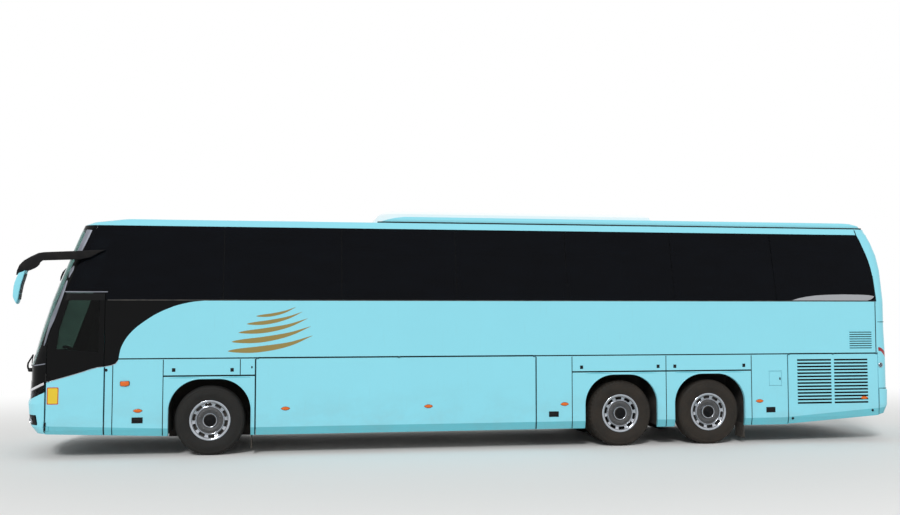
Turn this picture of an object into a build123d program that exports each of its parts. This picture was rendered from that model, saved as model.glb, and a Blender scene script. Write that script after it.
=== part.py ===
from build123d import *
from math import cos, radians, sin, sqrt
import os

os.makedirs("parts", exist_ok=True)

# Frame: millimetres, +X forwards, +Y to the coach's left, ground at Z = 0,
# origin under the middle of the width, within 40 of the middle of the length.

# Body levels
sill_z = 300
tuck_z = 419
tuck = 30
waist_z = 1453
belt_z = 2323
cant_z = 3460
gutter_z = 3560
crown_z = 3587
roof_bend_z = 3512

# Body widths and ends
half_width = 1275
cant_half = 1035
roof_bend_half = 1012
gutter_half = 985
crown_half = 640
nose_x = 6950
tail_x = -7030
screen_foot_z = 1370
screen_top_z = 3395
front_radius = 3600
front_corner = 260
rear_radius = 6000
rear_corner = 200

# Walls and running gaps
wall = 50
glazing = 10
seam = 8
seat_gap = 0.3

# Axles and wheels
front_axle_x = 4210
drive_axle_x = -2220
tag_axle_x = -3720
tyre_r = 522
tyre_w = 292
wheel_y = 1070
twin_pitch = 330
rim_r = 285
rim_flange_r = 298
rim_w = 250
hub_r = 105
spindle_r = 45
running_gap = 0.1
kingpin_y = 940
kingpin_r = 25

# Lower panels, from the front
door_front_x = 6540
door_rear_x = 5740
hold_front_x = 3530
hold_rear_x = -800
louvre_front_x = -5090
louvre_rear_x = -6700
arch_half = 603
arch_top_z = 1145
arch_corner = 475
rear_rise = 0.0746
front_rise = 0.0358
front_rise_x = 4650

# Driver's door and windscreen pillars
door_top_z = 2432
door_slant_z = 1890
pillar_knee_x = 6542
pillar_head_x = 6010
pillar_behind = 40
pillar_ahead_foot = 15
pillar_ahead_head = 50

# Side windows: seams between panes, from the front
pane_seams = (4035, 2250, 454, -1343, -3133, -4908)
pane_rear_x = -6690
pane_gap = 10
pillar_w = 110
rail_h = 70

# Floors and frame
saloon_floor_z = 1450
floor_t = 50
floor_half = 1215
cab_floor_z = 830
hold_floor_z = 370
hold_floor_t = 40
rail_y = 400
rail_w = 80
rail_foot_z = 640
rail_top_z = 780
low_rail_z = 285


# Ends over the screen's foot: height, nose set back, tail set in
end_profile = (
    (screen_foot_z, 0, 0),
    (1580, 59, 8),
    (1880, 138, 20),
    (belt_z, 273, 20),
    (2600, 376, 20),
    (2850, 477, 20),
    (3110, 573, 57),
    (3330, 663, 130),
    (cant_z, 725, 194),
)


def level(z):
    """Nose, half width and tail of the body at a height."""
    if z <= tuck_z:
        share = (z - sill_z) / (tuck_z - sill_z)
        return nose_x, half_width - tuck * (1 - share), tail_x + tuck * (1 - share)
    half = half_width
    if z > belt_z:
        half -= (half_width - cant_half) * (z - belt_z) / (cant_z - belt_z)
    for (low, nose_low, tail_low), (high, nose_high, tail_high) in zip(end_profile, end_profile[1:]):
        if low < z <= high:
            share = (z - low) / (high - low)
            back = nose_low + (nose_high - nose_low) * share
            ahead = tail_low + (tail_high - tail_low) * share
            return nose_x - back, half, tail_x + ahead
    return nose_x, half, tail_x


# Body sections: height, nose, half width, tail
sections = (
    (sill_z, *level(sill_z)),
    (tuck_z, *level(tuck_z)),
    *[(row[0], *level(row[0])) for row in end_profile],
    (roof_bend_z, nose_x - 855, roof_bend_half, tail_x + 222),
    (gutter_z, nose_x - 1235, gutter_half, tail_x + 230),
    (crown_z, nose_x - 2100, crown_half, tail_x + 700),
)


def plan_outline(nose, half, tail, front_r, corner_r, rear_r, rear_corner_r):
    """Closed outline seen from above: curved front and rear, round corners."""
    front_c = nose - front_r
    corner_c = front_c + sqrt((front_r - corner_r) ** 2 - (half - corner_r) ** 2)
    front_lean = (half - corner_r) / (front_r - corner_r)
    front_x = front_c + front_r * sqrt(1 - front_lean ** 2)
    front_y = front_r * front_lean
    rear_c = tail + rear_r
    rear_corner_c = rear_c - sqrt((rear_r - rear_corner_r) ** 2 - (half - rear_corner_r) ** 2)
    rear_lean = (half - rear_corner_r) / (rear_r - rear_corner_r)
    rear_x = rear_c - rear_r * sqrt(1 - rear_lean ** 2)
    rear_y = rear_r * rear_lean
    with BuildSketch() as plan:
        with BuildLine():
            ThreePointArc((front_x, -front_y), (nose, 0), (front_x, front_y))
            RadiusArc((front_x, front_y), (corner_c, half), -corner_r)
            Line((corner_c, half), (rear_corner_c, half))
            RadiusArc((rear_corner_c, half), (rear_x, rear_y), -rear_corner_r)
            ThreePointArc((rear_x, rear_y), (tail, 0), (rear_x, -rear_y))
            RadiusArc((rear_x, -rear_y), (rear_corner_c, -half), -rear_corner_r)
            Line((rear_corner_c, -half), (corner_c, -half))
            RadiusArc((corner_c, -half), (front_x, -front_y), -corner_r)
        make_face()
    return plan.sketch


def form_through(levels, inset, drop=0):
    """A closed form through level outlines, this far inside its outer face."""
    with BuildPart() as form:
        for height, nose, half, tail in levels:
            outline = plan_outline(
                nose - inset, half - inset, tail + inset,
                front_radius, front_corner, rear_radius, rear_corner,
            )
            level_z = height - drop * (height == levels[0][0])
            if height > cant_z:
                level_z -= inset * (height - cant_z) / (crown_z - cant_z)
            with BuildSketch(Plane.XY.offset(level_z)):
                add(outline)
        loft(ruled=True)
    return form.part


outer_form = form_through(sections, 0)
glass_form = form_through(sections, glazing, drop=wall)
inner_form = form_through(sections, wall, drop=wall)


def side_cut(points, y_low, y_high):
    """A block with this outline seen from the side, across a span of the width."""
    with BuildPart() as cut:
        with BuildSketch(Plane.XZ.offset(-y_high)):
            with BuildLine():
                Polyline(*points, close=True)
            make_face()
        extrude(amount=y_high - y_low)
    return cut.part


def block(x_low, x_high, y_low, y_high, z_low, z_high):
    """A plain block between these limits."""
    with BuildPart() as cut:
        with BuildSketch(Plane.XY.offset(z_low)):
            with Locations(((x_low + x_high) / 2, (y_low + y_high) / 2)):
                Rectangle(x_high - x_low, y_high - y_low)
        extrude(amount=z_high - z_low)
    return cut.part


def rod(x, y, z, radius, length, axis):
    """A round rod that starts here and runs along one axis."""
    plane = {
        "x": Plane((x, y, z), x_dir=(0, 1, 0), z_dir=(1, 0, 0)),
        "y": Plane((x, y, z), x_dir=(1, 0, 0), z_dir=(0, 1, 0)),
        "z": Plane((x, y, z), x_dir=(1, 0, 0), z_dir=(0, 0, 1)),
    }[axis]
    with BuildPart() as cut:
        with BuildSketch(plane):
            Circle(radius)
        extrude(amount=length)
    return cut.part


def mirrored(piece):
    """The same piece on the coach's right."""
    return mirror(piece, about=Plane.XZ)


def finish(part, name):
    """Label a piece and write its file."""
    part.label = name
    export_step(part, f"parts/{name}.step")


with BuildPart() as wall_skin:
    add(outer_form)
    add(inner_form, mode=Mode.SUBTRACT)

with BuildPart() as glass_skin:
    add(outer_form)
    add(glass_form, mode=Mode.SUBTRACT)

with BuildPart() as frame_skin:
    add(glass_form)
    add(inner_form, mode=Mode.SUBTRACT)

far = half_width + 100
wall_foot_z = 1469
hinge_z = waist_z
hinge_y = half_width - 7
barrel_r = 11
pin_r = 5
pin_gap = 0.3
knuckle_w = 30
knuckle_gap = 5
door_head_z = hinge_z - 9
ledge_t = 60


def pillar_x(z):
    """Where the windscreen pillar lies at a height."""
    share = (z - door_slant_z) / (screen_top_z - door_slant_z)
    return pillar_knee_x + (pillar_head_x - pillar_knee_x) * share


def rear_sill(x):
    """Height of the lower edge, which rises behind the rear wheels."""
    return sill_z + rear_rise * max(0, louvre_front_x + 100 - x)


def front_sill(x):
    """Height of the lower edge, which rises ahead of the front wheels."""
    return sill_z + front_rise * max(0, x - front_rise_x)


# Hinge line of a top-hinged side door: pin and knuckles on the coach
def hinge_line(x_rear, x_front):
    places = (x_rear + knuckle_w / 2, (x_rear + x_front) / 2, x_front - knuckle_w / 2)
    with BuildPart() as line:
        add(rod(x_rear, hinge_y, hinge_z, pin_r, x_front - x_rear, "x"))
        for x in places:
            add(rod(x - knuckle_w / 2, hinge_y, hinge_z, barrel_r, knuckle_w, "x"))
            add(
                block(
                    x - knuckle_w / 2, x + knuckle_w / 2,
                    hinge_y - barrel_r, half_width, hinge_z, wall_foot_z + 2,
                )
            )
    return line.part


# A top-hinged side door with its barrel along the hinge line
def hung_door(points, x_rear, x_front):
    places = (x_rear + knuckle_w / 2, (x_rear + x_front) / 2, x_front - knuckle_w / 2)
    with BuildPart() as door:
        add(wall_skin.part)
        add(side_cut(points, 0, far), mode=Mode.INTERSECT)
        barrel_rear = x_rear + knuckle_w + knuckle_gap
        barrel_length = x_front - x_rear - 2 * (knuckle_w + knuckle_gap)
        add(rod(barrel_rear, hinge_y, hinge_z, barrel_r, barrel_length, "x"))
        for x in places:
            notch = knuckle_w / 2 + knuckle_gap
            add(
                block(
                    x - notch, x + notch,
                    half_width - 2 * wall, far,
                    hinge_z - barrel_r - 6, wall_foot_z,
                ),
                mode=Mode.SUBTRACT,
            )
        add(
            rod(x_rear, hinge_y, hinge_z, pin_r + pin_gap, x_front - x_rear, "x"),
            mode=Mode.SUBTRACT,
        )
    return door.part


luggage_points = (
    (hold_rear_x, sill_z),
    (hold_front_x, sill_z),
    (hold_front_x, door_head_z),
    (hold_rear_x, door_head_z),
)
louvre_points = (
    (louvre_rear_x, rear_sill(louvre_rear_x)),
    (louvre_front_x, rear_sill(louvre_front_x)),
    (louvre_front_x, door_head_z),
    (louvre_rear_x, door_head_z),
)

# Side doors
luggage_door = hung_door(luggage_points, hold_rear_x, hold_front_x)
finish(luggage_door, "left_luggage_door")
finish(mirrored(luggage_door), "right_luggage_door")

# Louvre door: two columns of slats
slat_count = 14
slat_rise = 3
louvre_foot_z = 640
louvre_top_z = 1355
louvre_columns = ((-5854, -5250), (-6513, -5908))
with BuildPart() as louvre_door:
    add(hung_door(louvre_points, louvre_rear_x, louvre_front_x))
    pitch = (louvre_top_z - louvre_foot_z) / slat_count
    for x_rear, x_front in louvre_columns:
        add(
            block(x_rear, x_front, half_width - 2 * wall, far, louvre_foot_z, louvre_top_z),
            mode=Mode.SUBTRACT,
        )
        for i in range(slat_count):
            foot = louvre_foot_z + slat_rise + pitch * i
            slat = (
                (half_width - wall, foot + 0.62 * pitch),
                (half_width - 4, foot),
                (half_width - 4, foot + 0.3 * pitch),
                (half_width - wall, foot + 0.92 * pitch),
            )
            with BuildSketch(Plane.YZ.offset(x_rear)):
                with BuildLine():
                    Polyline(*slat, close=True)
                make_face()
            extrude(amount=x_front - x_rear)
finish(louvre_door.part, "left_louvre_door")
finish(mirrored(louvre_door.part), "right_louvre_door")

# Side walls from the waist to the belt, with a ledge on the floor's edge
rear_seam_x = louvre_rear_x - seam
with BuildPart() as side_wall:
    add(wall_skin.part)
    wall_points = (
        (rear_seam_x, wall_foot_z),
        (door_rear_x - seam, wall_foot_z),
        (door_rear_x - seam, belt_z),
        (rear_seam_x, belt_z),
    )
    add(side_cut(wall_points, 0, far), mode=Mode.INTERSECT)
    add(
        block(
            rear_seam_x, door_rear_x - 2 * seam,
            half_width - wall - ledge_t, half_width - wall,
            saloon_floor_z, wall_foot_z + wall,
        )
    )
    add(hinge_line(hold_rear_x, hold_front_x))
    add(hinge_line(louvre_rear_x, louvre_front_x))
with BuildPart() as side_walls:
    add(side_wall.part)
    add(mirrored(side_wall.part))
finish(side_walls.part, "side_walls")

# Window frames and panes: one opening for each pane
pane_edges = (*pane_seams, pane_rear_x)
head_front_x = pillar_x(cant_z) - pillar_behind


def front_pane(border):
    """The front pane's outline, stepped over the door."""
    rear_x = pane_edges[0]
    sill = belt_z + border
    over_door = door_top_z + seam + border
    head = cant_z - border
    step_x = door_rear_x - seam - border
    return (
        (rear_x + border, sill),
        (step_x, sill),
        (step_x, over_door),
        (pillar_x(over_door) - pillar_behind - border, over_door),
        (pillar_x(head) - pillar_behind - border, head),
        (rear_x + border, head),
    )


def side_pane(i, border):
    """The outline of pane i, with a border inside its seams."""
    return (
        (pane_edges[i + 1] + border, belt_z + border),
        (pane_edges[i] - border, belt_z + border),
        (pane_edges[i] - border, cant_z - border),
        (pane_edges[i + 1] + border, cant_z - border),
    )


with BuildPart() as window_frame:
    add(frame_skin.part)
    band = (
        (rear_seam_x, belt_z),
        (door_rear_x - seam, belt_z),
        (door_rear_x - seam, door_top_z + seam),
        (pillar_x(door_top_z + seam) - pillar_behind, door_top_z + seam),
        (head_front_x, cant_z),
        (rear_seam_x, cant_z),
    )
    add(side_cut(band, 0, far), mode=Mode.INTERSECT)
    add(side_cut(front_pane(rail_h), 0, far), mode=Mode.SUBTRACT)
    for i in range(len(pane_seams)):
        add(side_cut(side_pane(i, pillar_w / 2), 0, far), mode=Mode.SUBTRACT)
with BuildPart() as window_frames:
    add(window_frame.part)
    add(mirrored(window_frame.part))
finish(window_frames.part, "window_frames")

with BuildPart() as side_glass:
    for i in range(len(pane_seams)):
        add(side_cut(side_pane(i, pane_gap / 2), 0, far))
    add(side_cut(front_pane(pane_gap / 2), 0, far))
    add(glass_skin.part, mode=Mode.INTERSECT)


# Driver's door outline, with its slanted front edge
door_knee_z = 1752
door_points = (
    (door_rear_x, front_sill(door_rear_x)),
    (door_front_x, front_sill(door_front_x)),
    (door_front_x, door_knee_z),
    (pillar_x(door_slant_z) - pillar_behind - seam, door_slant_z),
    (pillar_x(door_top_z) - pillar_behind - seam, door_top_z),
    (door_rear_x, door_top_z),
)
door_sill_z = 1560
door_window = (
    (door_rear_x + 75, door_sill_z),
    (door_front_x - 125, door_sill_z + 48),
    (door_front_x - 155, 1871),
    (door_front_x - 288, belt_z),
    (door_rear_x + 75, belt_z),
)

# Hinges of the driver's door: knuckles outside the skin
door_hinge_x = door_front_x + seam / 2
door_hinge_y = half_width + 10
door_hinge_feet = (420, 1130)
door_barrel_r = 9
door_barrel_h = 60
leaf_reach = 46
leaf_t = 5

with BuildPart() as driver_door:
    add(wall_skin.part)
    add(side_cut(door_points, 0, far), mode=Mode.INTERSECT)
    add(side_cut(door_window, 0, far), mode=Mode.SUBTRACT)
    for foot in door_hinge_feet:
        add(
            rod(
                door_hinge_x, door_hinge_y, foot + door_barrel_h - 4,
                door_barrel_r + knuckle_gap, door_barrel_h + 12, "z",
            ),
            mode=Mode.SUBTRACT,
        )
        add(rod(door_hinge_x, door_hinge_y, foot, door_barrel_r, door_barrel_h, "z"))
        add(
            block(
                door_hinge_x - leaf_reach, door_hinge_x,
                half_width - leaf_t, door_hinge_y, foot, foot + door_barrel_h,
            )
        )
        add(
            rod(door_hinge_x, door_hinge_y, foot - 1, pin_r + pin_gap, door_barrel_h + 2, "z"),
            mode=Mode.SUBTRACT,
        )
finish(driver_door.part, "driver_door")

with BuildPart() as driver_glass:
    add(glass_skin.part)
    add(side_cut(door_window, 0, far), mode=Mode.INTERSECT)
finish(driver_glass.part, "driver_door_glass")


def coach_hinge(foot):
    """The coach's half of a door hinge: pin, upper knuckle and leaf."""
    knuckle_foot = foot + door_barrel_h + 1
    with BuildPart() as half:
        add(rod(door_hinge_x, door_hinge_y, foot, pin_r, door_barrel_h * 2, "z"))
        add(
            rod(
                door_hinge_x, door_hinge_y, knuckle_foot,
                door_barrel_r, door_barrel_h - 1, "z",
            )
        )
        add(
            block(
                door_hinge_x, door_hinge_x + leaf_reach,
                half_width - 4 * leaf_t, door_hinge_y,
                knuckle_foot, knuckle_foot + door_barrel_h - 1,
            )
        )
    return half.part


# Entry door on the right, flush in its frame
entry_lift = 25
entry_points = (
    (door_rear_x - seam, front_sill(door_rear_x) + entry_lift),
    (door_front_x + seam, front_sill(door_front_x) + entry_lift),
    (door_front_x + seam, door_knee_z),
    (pillar_x(door_slant_z) - pillar_behind, door_slant_z),
    (pillar_x(door_top_z + seam) - pillar_behind, door_top_z + seam),
    (door_rear_x - seam, door_top_z + seam),
)
entry_window = (
    (door_rear_x + 75, 780),
    (door_front_x - 75, 780),
    (door_front_x - 80, 1700),
    (door_front_x - 288, belt_z),
    (door_rear_x + 75, belt_z),
)
with BuildPart() as entry_door:
    add(wall_skin.part)
    add(side_cut(entry_points, -far, 0), mode=Mode.INTERSECT)
    add(side_cut(entry_window, -far, 0), mode=Mode.SUBTRACT)
finish(entry_door.part, "entry_door")

with BuildPart() as entry_pane:
    add(glass_skin.part)
    add(side_cut(entry_window, -far, 0), mode=Mode.INTERSECT)

# Windscreen, its pillars and the header over it
screen_edge = (
    (pillar_x(screen_foot_z) + pillar_ahead_foot, screen_foot_z),
    (pillar_x(screen_top_z) + pillar_ahead_head, screen_top_z),
)
with BuildPart() as windscreen:
    add(glass_skin.part)
    screen_points = (
        *screen_edge,
        (nose_x + 100, screen_top_z),
        (nose_x + 100, screen_foot_z),
    )
    add(side_cut(screen_points, -far, far), mode=Mode.INTERSECT)
finish(windscreen.part, "windscreen")

with BuildPart() as front_frame:
    frame_points = (
        (door_front_x + seam, screen_foot_z),
        *screen_edge,
        (nose_x, screen_top_z),
        (nose_x, cant_z),
        (head_front_x, cant_z),
        (pillar_x(door_slant_z) - pillar_behind, door_slant_z),
        (door_front_x + seam, door_knee_z),
    )
    add(side_cut(frame_points, -far, far))
    add(wall_skin.part, mode=Mode.INTERSECT)
finish(front_frame.part, "front_frame")

# Dark mask under the windscreen
mask_foot_z = 1120
with BuildPart() as front_mask:
    add(wall_skin.part)
    add(
        block(door_front_x + seam, nose_x + 100, -far, far, mask_foot_z, screen_foot_z),
        mode=Mode.INTERSECT,
    )
    add(coach_hinge(door_hinge_feet[1]))
finish(front_mask.part, "front_mask")

# Front bumper: height, nose, half width
bumper_foot_z = 372
bumper_sections = (
    (bumper_foot_z, nose_x - 90, half_width - 12),
    (425, nose_x - 46, half_width),
    (477, nose_x - 5, half_width),
    (640, nose_x + 25, half_width),
    (807, nose_x + 40, half_width),
    (862, nose_x + 17, half_width),
    (mask_foot_z, nose_x + 5, half_width),
)
bumper_levels = [(z, nose, half, tail_x) for z, nose, half in bumper_sections]
bumper_outer = form_through(bumper_levels, 0)
bumper_inner = form_through(bumper_levels, wall, drop=wall)
with BuildPart() as bumper_skin:
    add(bumper_outer)
    add(bumper_inner, mode=Mode.SUBTRACT)

# Headlamps and fog lamps wrap the corners of the bumper
lamp_inner_y = 690
fog_inner_y = 820
fog_outer_y = 1245
lamp_points = (
    (door_front_x + seam, 984),
    (nose_x - 154, 868),
    (nose_x + 100, 850),
    (nose_x + 100, 985),
    (nose_x - 130, 1000),
    (door_front_x + seam, mask_foot_z + 15),
)
fog_points = (
    (nose_x - 290, 500),
    (nose_x + 100, 500),
    (nose_x + 100, 648),
    (nose_x - 290, 648),
)
with BuildPart() as lamp_cuts:
    add(side_cut(lamp_points, lamp_inner_y, far))
    add(side_cut(fog_points, fog_inner_y, fog_outer_y))
    mirror(about=Plane.XZ)

with BuildPart() as front_lamps:
    add(bumper_skin.part)
    add(lamp_cuts.part, mode=Mode.INTERSECT)
finish(front_lamps.part, "front_lamps")

frame_front_x = 6400
with BuildPart() as front_bumper:
    add(bumper_skin.part)
    add(
        block(door_front_x + seam, nose_x + 200, -far, far, bumper_foot_z, mask_foot_z),
        mode=Mode.INTERSECT,
    )
    add(lamp_cuts.part, mode=Mode.SUBTRACT)
    for side in (-1, 1):
        arm = block(
            frame_front_x, nose_x,
            side * rail_y - rail_w / 2, side * rail_y + rail_w / 2,
            rail_foot_z, rail_top_z,
        )
        with BuildPart(mode=Mode.PRIVATE) as bumper_arm:
            add(arm)
            add(bumper_outer, mode=Mode.INTERSECT)
        add(bumper_arm.part)
    add(coach_hinge(door_hinge_feet[0]))
finish(front_bumper.part, "front_bumper")

# Fixed lower panels with their wheel arches
def arch_cut(x):
    """An arch: upright legs and a flat top with round corners."""
    with BuildPart() as cut:
        with BuildSketch(Plane.XZ.offset(-far)):
            with Locations((x, 0)):
                RectangleRounded(2 * arch_half, 2 * arch_top_z, arch_corner)
        extrude(amount=4 * wall)
    return cut.part


front_skirt_points = (
    (hold_front_x + seam, sill_z),
    (front_rise_x, sill_z),
    (door_rear_x - seam, front_sill(door_rear_x)),
    (door_rear_x - seam, wall_foot_z),
    (hold_front_x + seam, wall_foot_z),
)
rear_skirt_points = (
    (louvre_front_x + seam, sill_z),
    (hold_rear_x - seam, sill_z),
    (hold_rear_x - seam, wall_foot_z),
    (louvre_front_x + seam, wall_foot_z),
)
flap_rear_x = -4967
flap_front_x = -4754
flap_foot_z = 942
flap_head_z = 1163
flap_hinge_z = flap_head_z + 6
flap_t = 20
with BuildPart() as skirt:
    add(wall_skin.part)
    with BuildPart(mode=Mode.PRIVATE) as skirt_sides:
        add(side_cut(front_skirt_points, 0, far))
        add(side_cut(rear_skirt_points, 0, far))
        for axle_x in (front_axle_x, drive_axle_x, tag_axle_x):
            add(arch_cut(axle_x), mode=Mode.SUBTRACT)
    add(skirt_sides.part, mode=Mode.INTERSECT)

flap_gap = 5
flap_barrel_r = 6
flap_hinge_y = half_width
with BuildPart() as left_skirt:
    add(skirt.part)
    add(
        block(
            flap_rear_x - flap_gap, flap_front_x + flap_gap,
            half_width - flap_t - flap_gap, far,
            flap_foot_z - flap_gap, flap_hinge_z + flap_barrel_r + flap_gap,
        ),
        mode=Mode.SUBTRACT,
    )
    add(
        rod(
            flap_rear_x - flap_gap, flap_hinge_y - 3, flap_hinge_z,
            3, flap_front_x - flap_rear_x + 2 * flap_gap, "x",
        )
    )
with BuildPart() as skirts:
    add(left_skirt.part)
    add(mirrored(skirt.part))
finish(skirts.part, "skirts")

with BuildPart() as fuel_flap:
    add(
        block(
            flap_rear_x, flap_front_x,
            half_width - flap_t, half_width - 1,
            flap_foot_z, flap_hinge_z - 4,
        )
    )
    add(
        rod(
            flap_rear_x, flap_hinge_y - 3, flap_hinge_z,
            flap_barrel_r, flap_front_x - flap_rear_x, "x",
        )
    )
    add(
        rod(
            flap_rear_x - 1, flap_hinge_y - 3, flap_hinge_z,
            3 + pin_gap, flap_front_x - flap_rear_x + 2, "x",
        ),
        mode=Mode.SUBTRACT,
    )
finish(fuel_flap.part, "fuel_flap")

# Wheel housings: top, two ends and an inner wall over each wheel
housing_t = 15
housing_top_z = 1180
housing_foot_z = 330
housing_inner_y = 560
with BuildPart() as housings:
    for axle_x in (front_axle_x, drive_axle_x, tag_axle_x):
        reach = arch_half + 2
        with BuildPart(mode=Mode.PRIVATE) as housing:
            add(
                block(
                    axle_x - reach - housing_t, axle_x + reach + housing_t,
                    housing_inner_y, far,
                    housing_foot_z, housing_top_z,
                )
            )
            add(
                block(
                    axle_x - reach, axle_x + reach,
                    housing_inner_y + housing_t, far,
                    0, housing_top_z - housing_t,
                ),
                mode=Mode.SUBTRACT,
            )
            add(
                block(
                    axle_x - reach, axle_x + reach,
                    0, far, 0, rail_foot_z,
                ),
                mode=Mode.SUBTRACT,
            )
            add(inner_form, mode=Mode.INTERSECT)
        add(housing.part)
    mirror(about=Plane.XZ)
finish(housings.part, "wheel_housings")

# Rear: wall with window, lid opening and lamp places
lid_half = 880
lid_foot_z = 868
lid_head_z = 1872
lid_hinge_z = 1882
lid_barrel_r = 8
rear_window_half = 860
rear_window_foot_z = 2240
rear_window_top_z = 3300
rear_bumper_top_z = 860
tail_lamp_inner_y = 960
tail_lamp_x = -6766
tail_lamp_turn_x = -6893
tail_lamp_points = (
    (tail_lamp_x, 1490),
    (tail_lamp_x, 1551),
    (tail_lamp_turn_x, 1468),
    (tail_x - 100, 1440),
    (tail_x - 100, 1180),
    (tail_lamp_turn_x - 12, 1180),
    (tail_lamp_turn_x, 1370),
)


def rear_block(y_low, y_high, z_low, z_high):
    """A block across the rear end."""
    return block(tail_x - 100, rear_seam_x, y_low, y_high, z_low, z_high)


with BuildPart() as tail_lamps:
    add(wall_skin.part)
    with BuildPart(mode=Mode.PRIVATE) as tail_lamp_cuts:
        add(side_cut(tail_lamp_points, tail_lamp_inner_y, far))
        mirror(about=Plane.XZ)
    add(tail_lamp_cuts.part, mode=Mode.INTERSECT)
finish(tail_lamps.part, "tail_lamps")

# Lid hinges: pin along the width, coach knuckles outside, lid barrel between
lid_hinge_x = level(lid_hinge_z)[2]
lid_hinge_places = (-330, 330)
lid_barrel_w = 80
with BuildPart() as rear_wall:
    add(wall_skin.part)
    add(rear_block(-far, far, rear_bumper_top_z, cant_z), mode=Mode.INTERSECT)
    add(
        rear_block(
            -lid_half - seam, lid_half + seam,
            rear_bumper_top_z, lid_head_z + seam,
        ),
        mode=Mode.SUBTRACT,
    )
    add(
        rear_block(
            -rear_window_half, rear_window_half,
            rear_window_foot_z, rear_window_top_z,
        ),
        mode=Mode.SUBTRACT,
    )
    add(tail_lamp_cuts.part, mode=Mode.SUBTRACT)
    for y in lid_hinge_places:
        add(
            block(
                lid_hinge_x - 1, lid_hinge_x + wall,
                y - lid_barrel_w / 2 - knuckle_gap, y + lid_barrel_w / 2 + knuckle_gap,
                lid_head_z, lid_hinge_z + lid_barrel_r + knuckle_gap,
            ),
            mode=Mode.SUBTRACT,
        )
        for side in (-1, 1):
            knuckle_y = y + side * (lid_barrel_w / 2 + knuckle_gap + knuckle_w / 2)
            add(
                rod(
                    lid_hinge_x, knuckle_y - knuckle_w / 2, lid_hinge_z,
                    lid_barrel_r, knuckle_w, "y",
                )
            )
            add(
                block(
                    lid_hinge_x - lid_barrel_r, lid_hinge_x + 20,
                    knuckle_y - knuckle_w / 2, knuckle_y + knuckle_w / 2,
                    lid_hinge_z, lid_hinge_z + 2 * lid_barrel_r,
                )
            )
        pin_length = lid_barrel_w + 2 * (knuckle_gap + knuckle_w)
        add(rod(lid_hinge_x, y - pin_length / 2, lid_hinge_z, 4, pin_length, "y"))
finish(rear_wall.part, "rear_wall")

with BuildPart() as engine_lid:
    add(wall_skin.part)
    add(rear_block(-lid_half, lid_half, lid_foot_z, lid_head_z), mode=Mode.INTERSECT)
    for y in lid_hinge_places:
        for side in (-1, 1):
            knuckle_y = y + side * (lid_barrel_w / 2 + knuckle_gap + knuckle_w / 2)
            add(
                block(
                    lid_hinge_x - 1, lid_hinge_x + wall,
                    knuckle_y - knuckle_w / 2 - knuckle_gap,
                    knuckle_y + knuckle_w / 2 + knuckle_gap,
                    lid_hinge_z - lid_barrel_r - knuckle_gap, lid_hinge_z,
                ),
                mode=Mode.SUBTRACT,
            )
        add(
            rod(
                lid_hinge_x, y - lid_barrel_w / 2, lid_hinge_z,
                lid_barrel_r, lid_barrel_w, "y",
            )
        )
        add(
            block(
                lid_hinge_x - lid_barrel_r + 1, lid_hinge_x + 10,
                y - lid_barrel_w / 2, y + lid_barrel_w / 2,
                lid_head_z - 60, lid_hinge_z,
            )
        )
        add(
            rod(
                lid_hinge_x, y - lid_barrel_w, lid_hinge_z,
                4 + pin_gap, 2 * lid_barrel_w, "y",
            ),
            mode=Mode.SUBTRACT,
        )
finish(engine_lid.part, "engine_lid")

with BuildPart() as rear_glass:
    add(glass_skin.part)
    add(
        rear_block(
            -rear_window_half, rear_window_half,
            rear_window_foot_z, rear_window_top_z,
        ),
        mode=Mode.INTERSECT,
    )
with BuildPart() as window_glass:
    add(side_glass.part)
    add(mirrored(side_glass.part))
    add(entry_pane.part)
    add(rear_glass.part)
finish(window_glass.part, "window_glass")

# Rear bumper: height, half width, tail
rear_bumper_sections = (
    (425, half_width - 25, tail_x + 125),
    (450, half_width - 18, tail_x + 42),
    (593, half_width, tail_x - 17),
    (838, half_width, tail_x - 24),
    (rear_bumper_top_z, half_width, tail_x),
)
rear_levels = [(z, nose_x, half, tail) for z, half, tail in rear_bumper_sections]
with BuildPart() as rear_bumper:
    add(form_through(rear_levels, 0))
    add(form_through(rear_levels, wall, drop=wall), mode=Mode.SUBTRACT)
    add(rear_block(-far, far, sill_z, rear_bumper_top_z), mode=Mode.INTERSECT)
    for side in (-1, 1):
        with BuildPart(mode=Mode.PRIVATE) as rear_arm:
            add(
                block(
                    tail_x - 100, -6650,
                    side * rail_y - rail_w / 2, side * rail_y + rail_w / 2,
                    rail_foot_z, rail_top_z,
                )
            )
            add(form_through(rear_levels, wall - 5), mode=Mode.INTERSECT)
        add(rear_arm.part)
finish(rear_bumper.part, "rear_bumper")

# Roof shell with the raised part along its middle
raised_foot_z = gutter_z + 1
raised_top_z = 3663
raised_foot_half = 962
raised_top_half = 940
raised_front_x = 1670
raised_rear_x = -6635
raised_points = (
    (raised_front_x, raised_foot_z),
    (raised_front_x - 105, raised_foot_z + 42),
    (raised_front_x - 264, raised_foot_z + 83),
    (raised_front_x - 424, raised_top_z),
    (raised_rear_x + 332, raised_top_z),
    (raised_rear_x + 196, raised_top_z - 9),
    (raised_rear_x + 59, raised_top_z - 46),
    (raised_rear_x, raised_foot_z),
)
with BuildPart() as raised_roof:
    add(side_cut(raised_points, -raised_foot_half, raised_foot_half))
    with BuildSketch(Plane.YZ.offset(raised_rear_x)):
        with BuildLine():
            Polyline(
                (-raised_foot_half, raised_foot_z),
                (raised_foot_half, raised_foot_z),
                (raised_foot_half - 4, raised_foot_z + 60),
                (raised_top_half, raised_top_z),
                (-raised_top_half, raised_top_z),
                (-raised_foot_half + 4, raised_foot_z + 60),
                close=True,
            )
        make_face()
    extrude(amount=raised_front_x - raised_rear_x, mode=Mode.INTERSECT)

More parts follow.
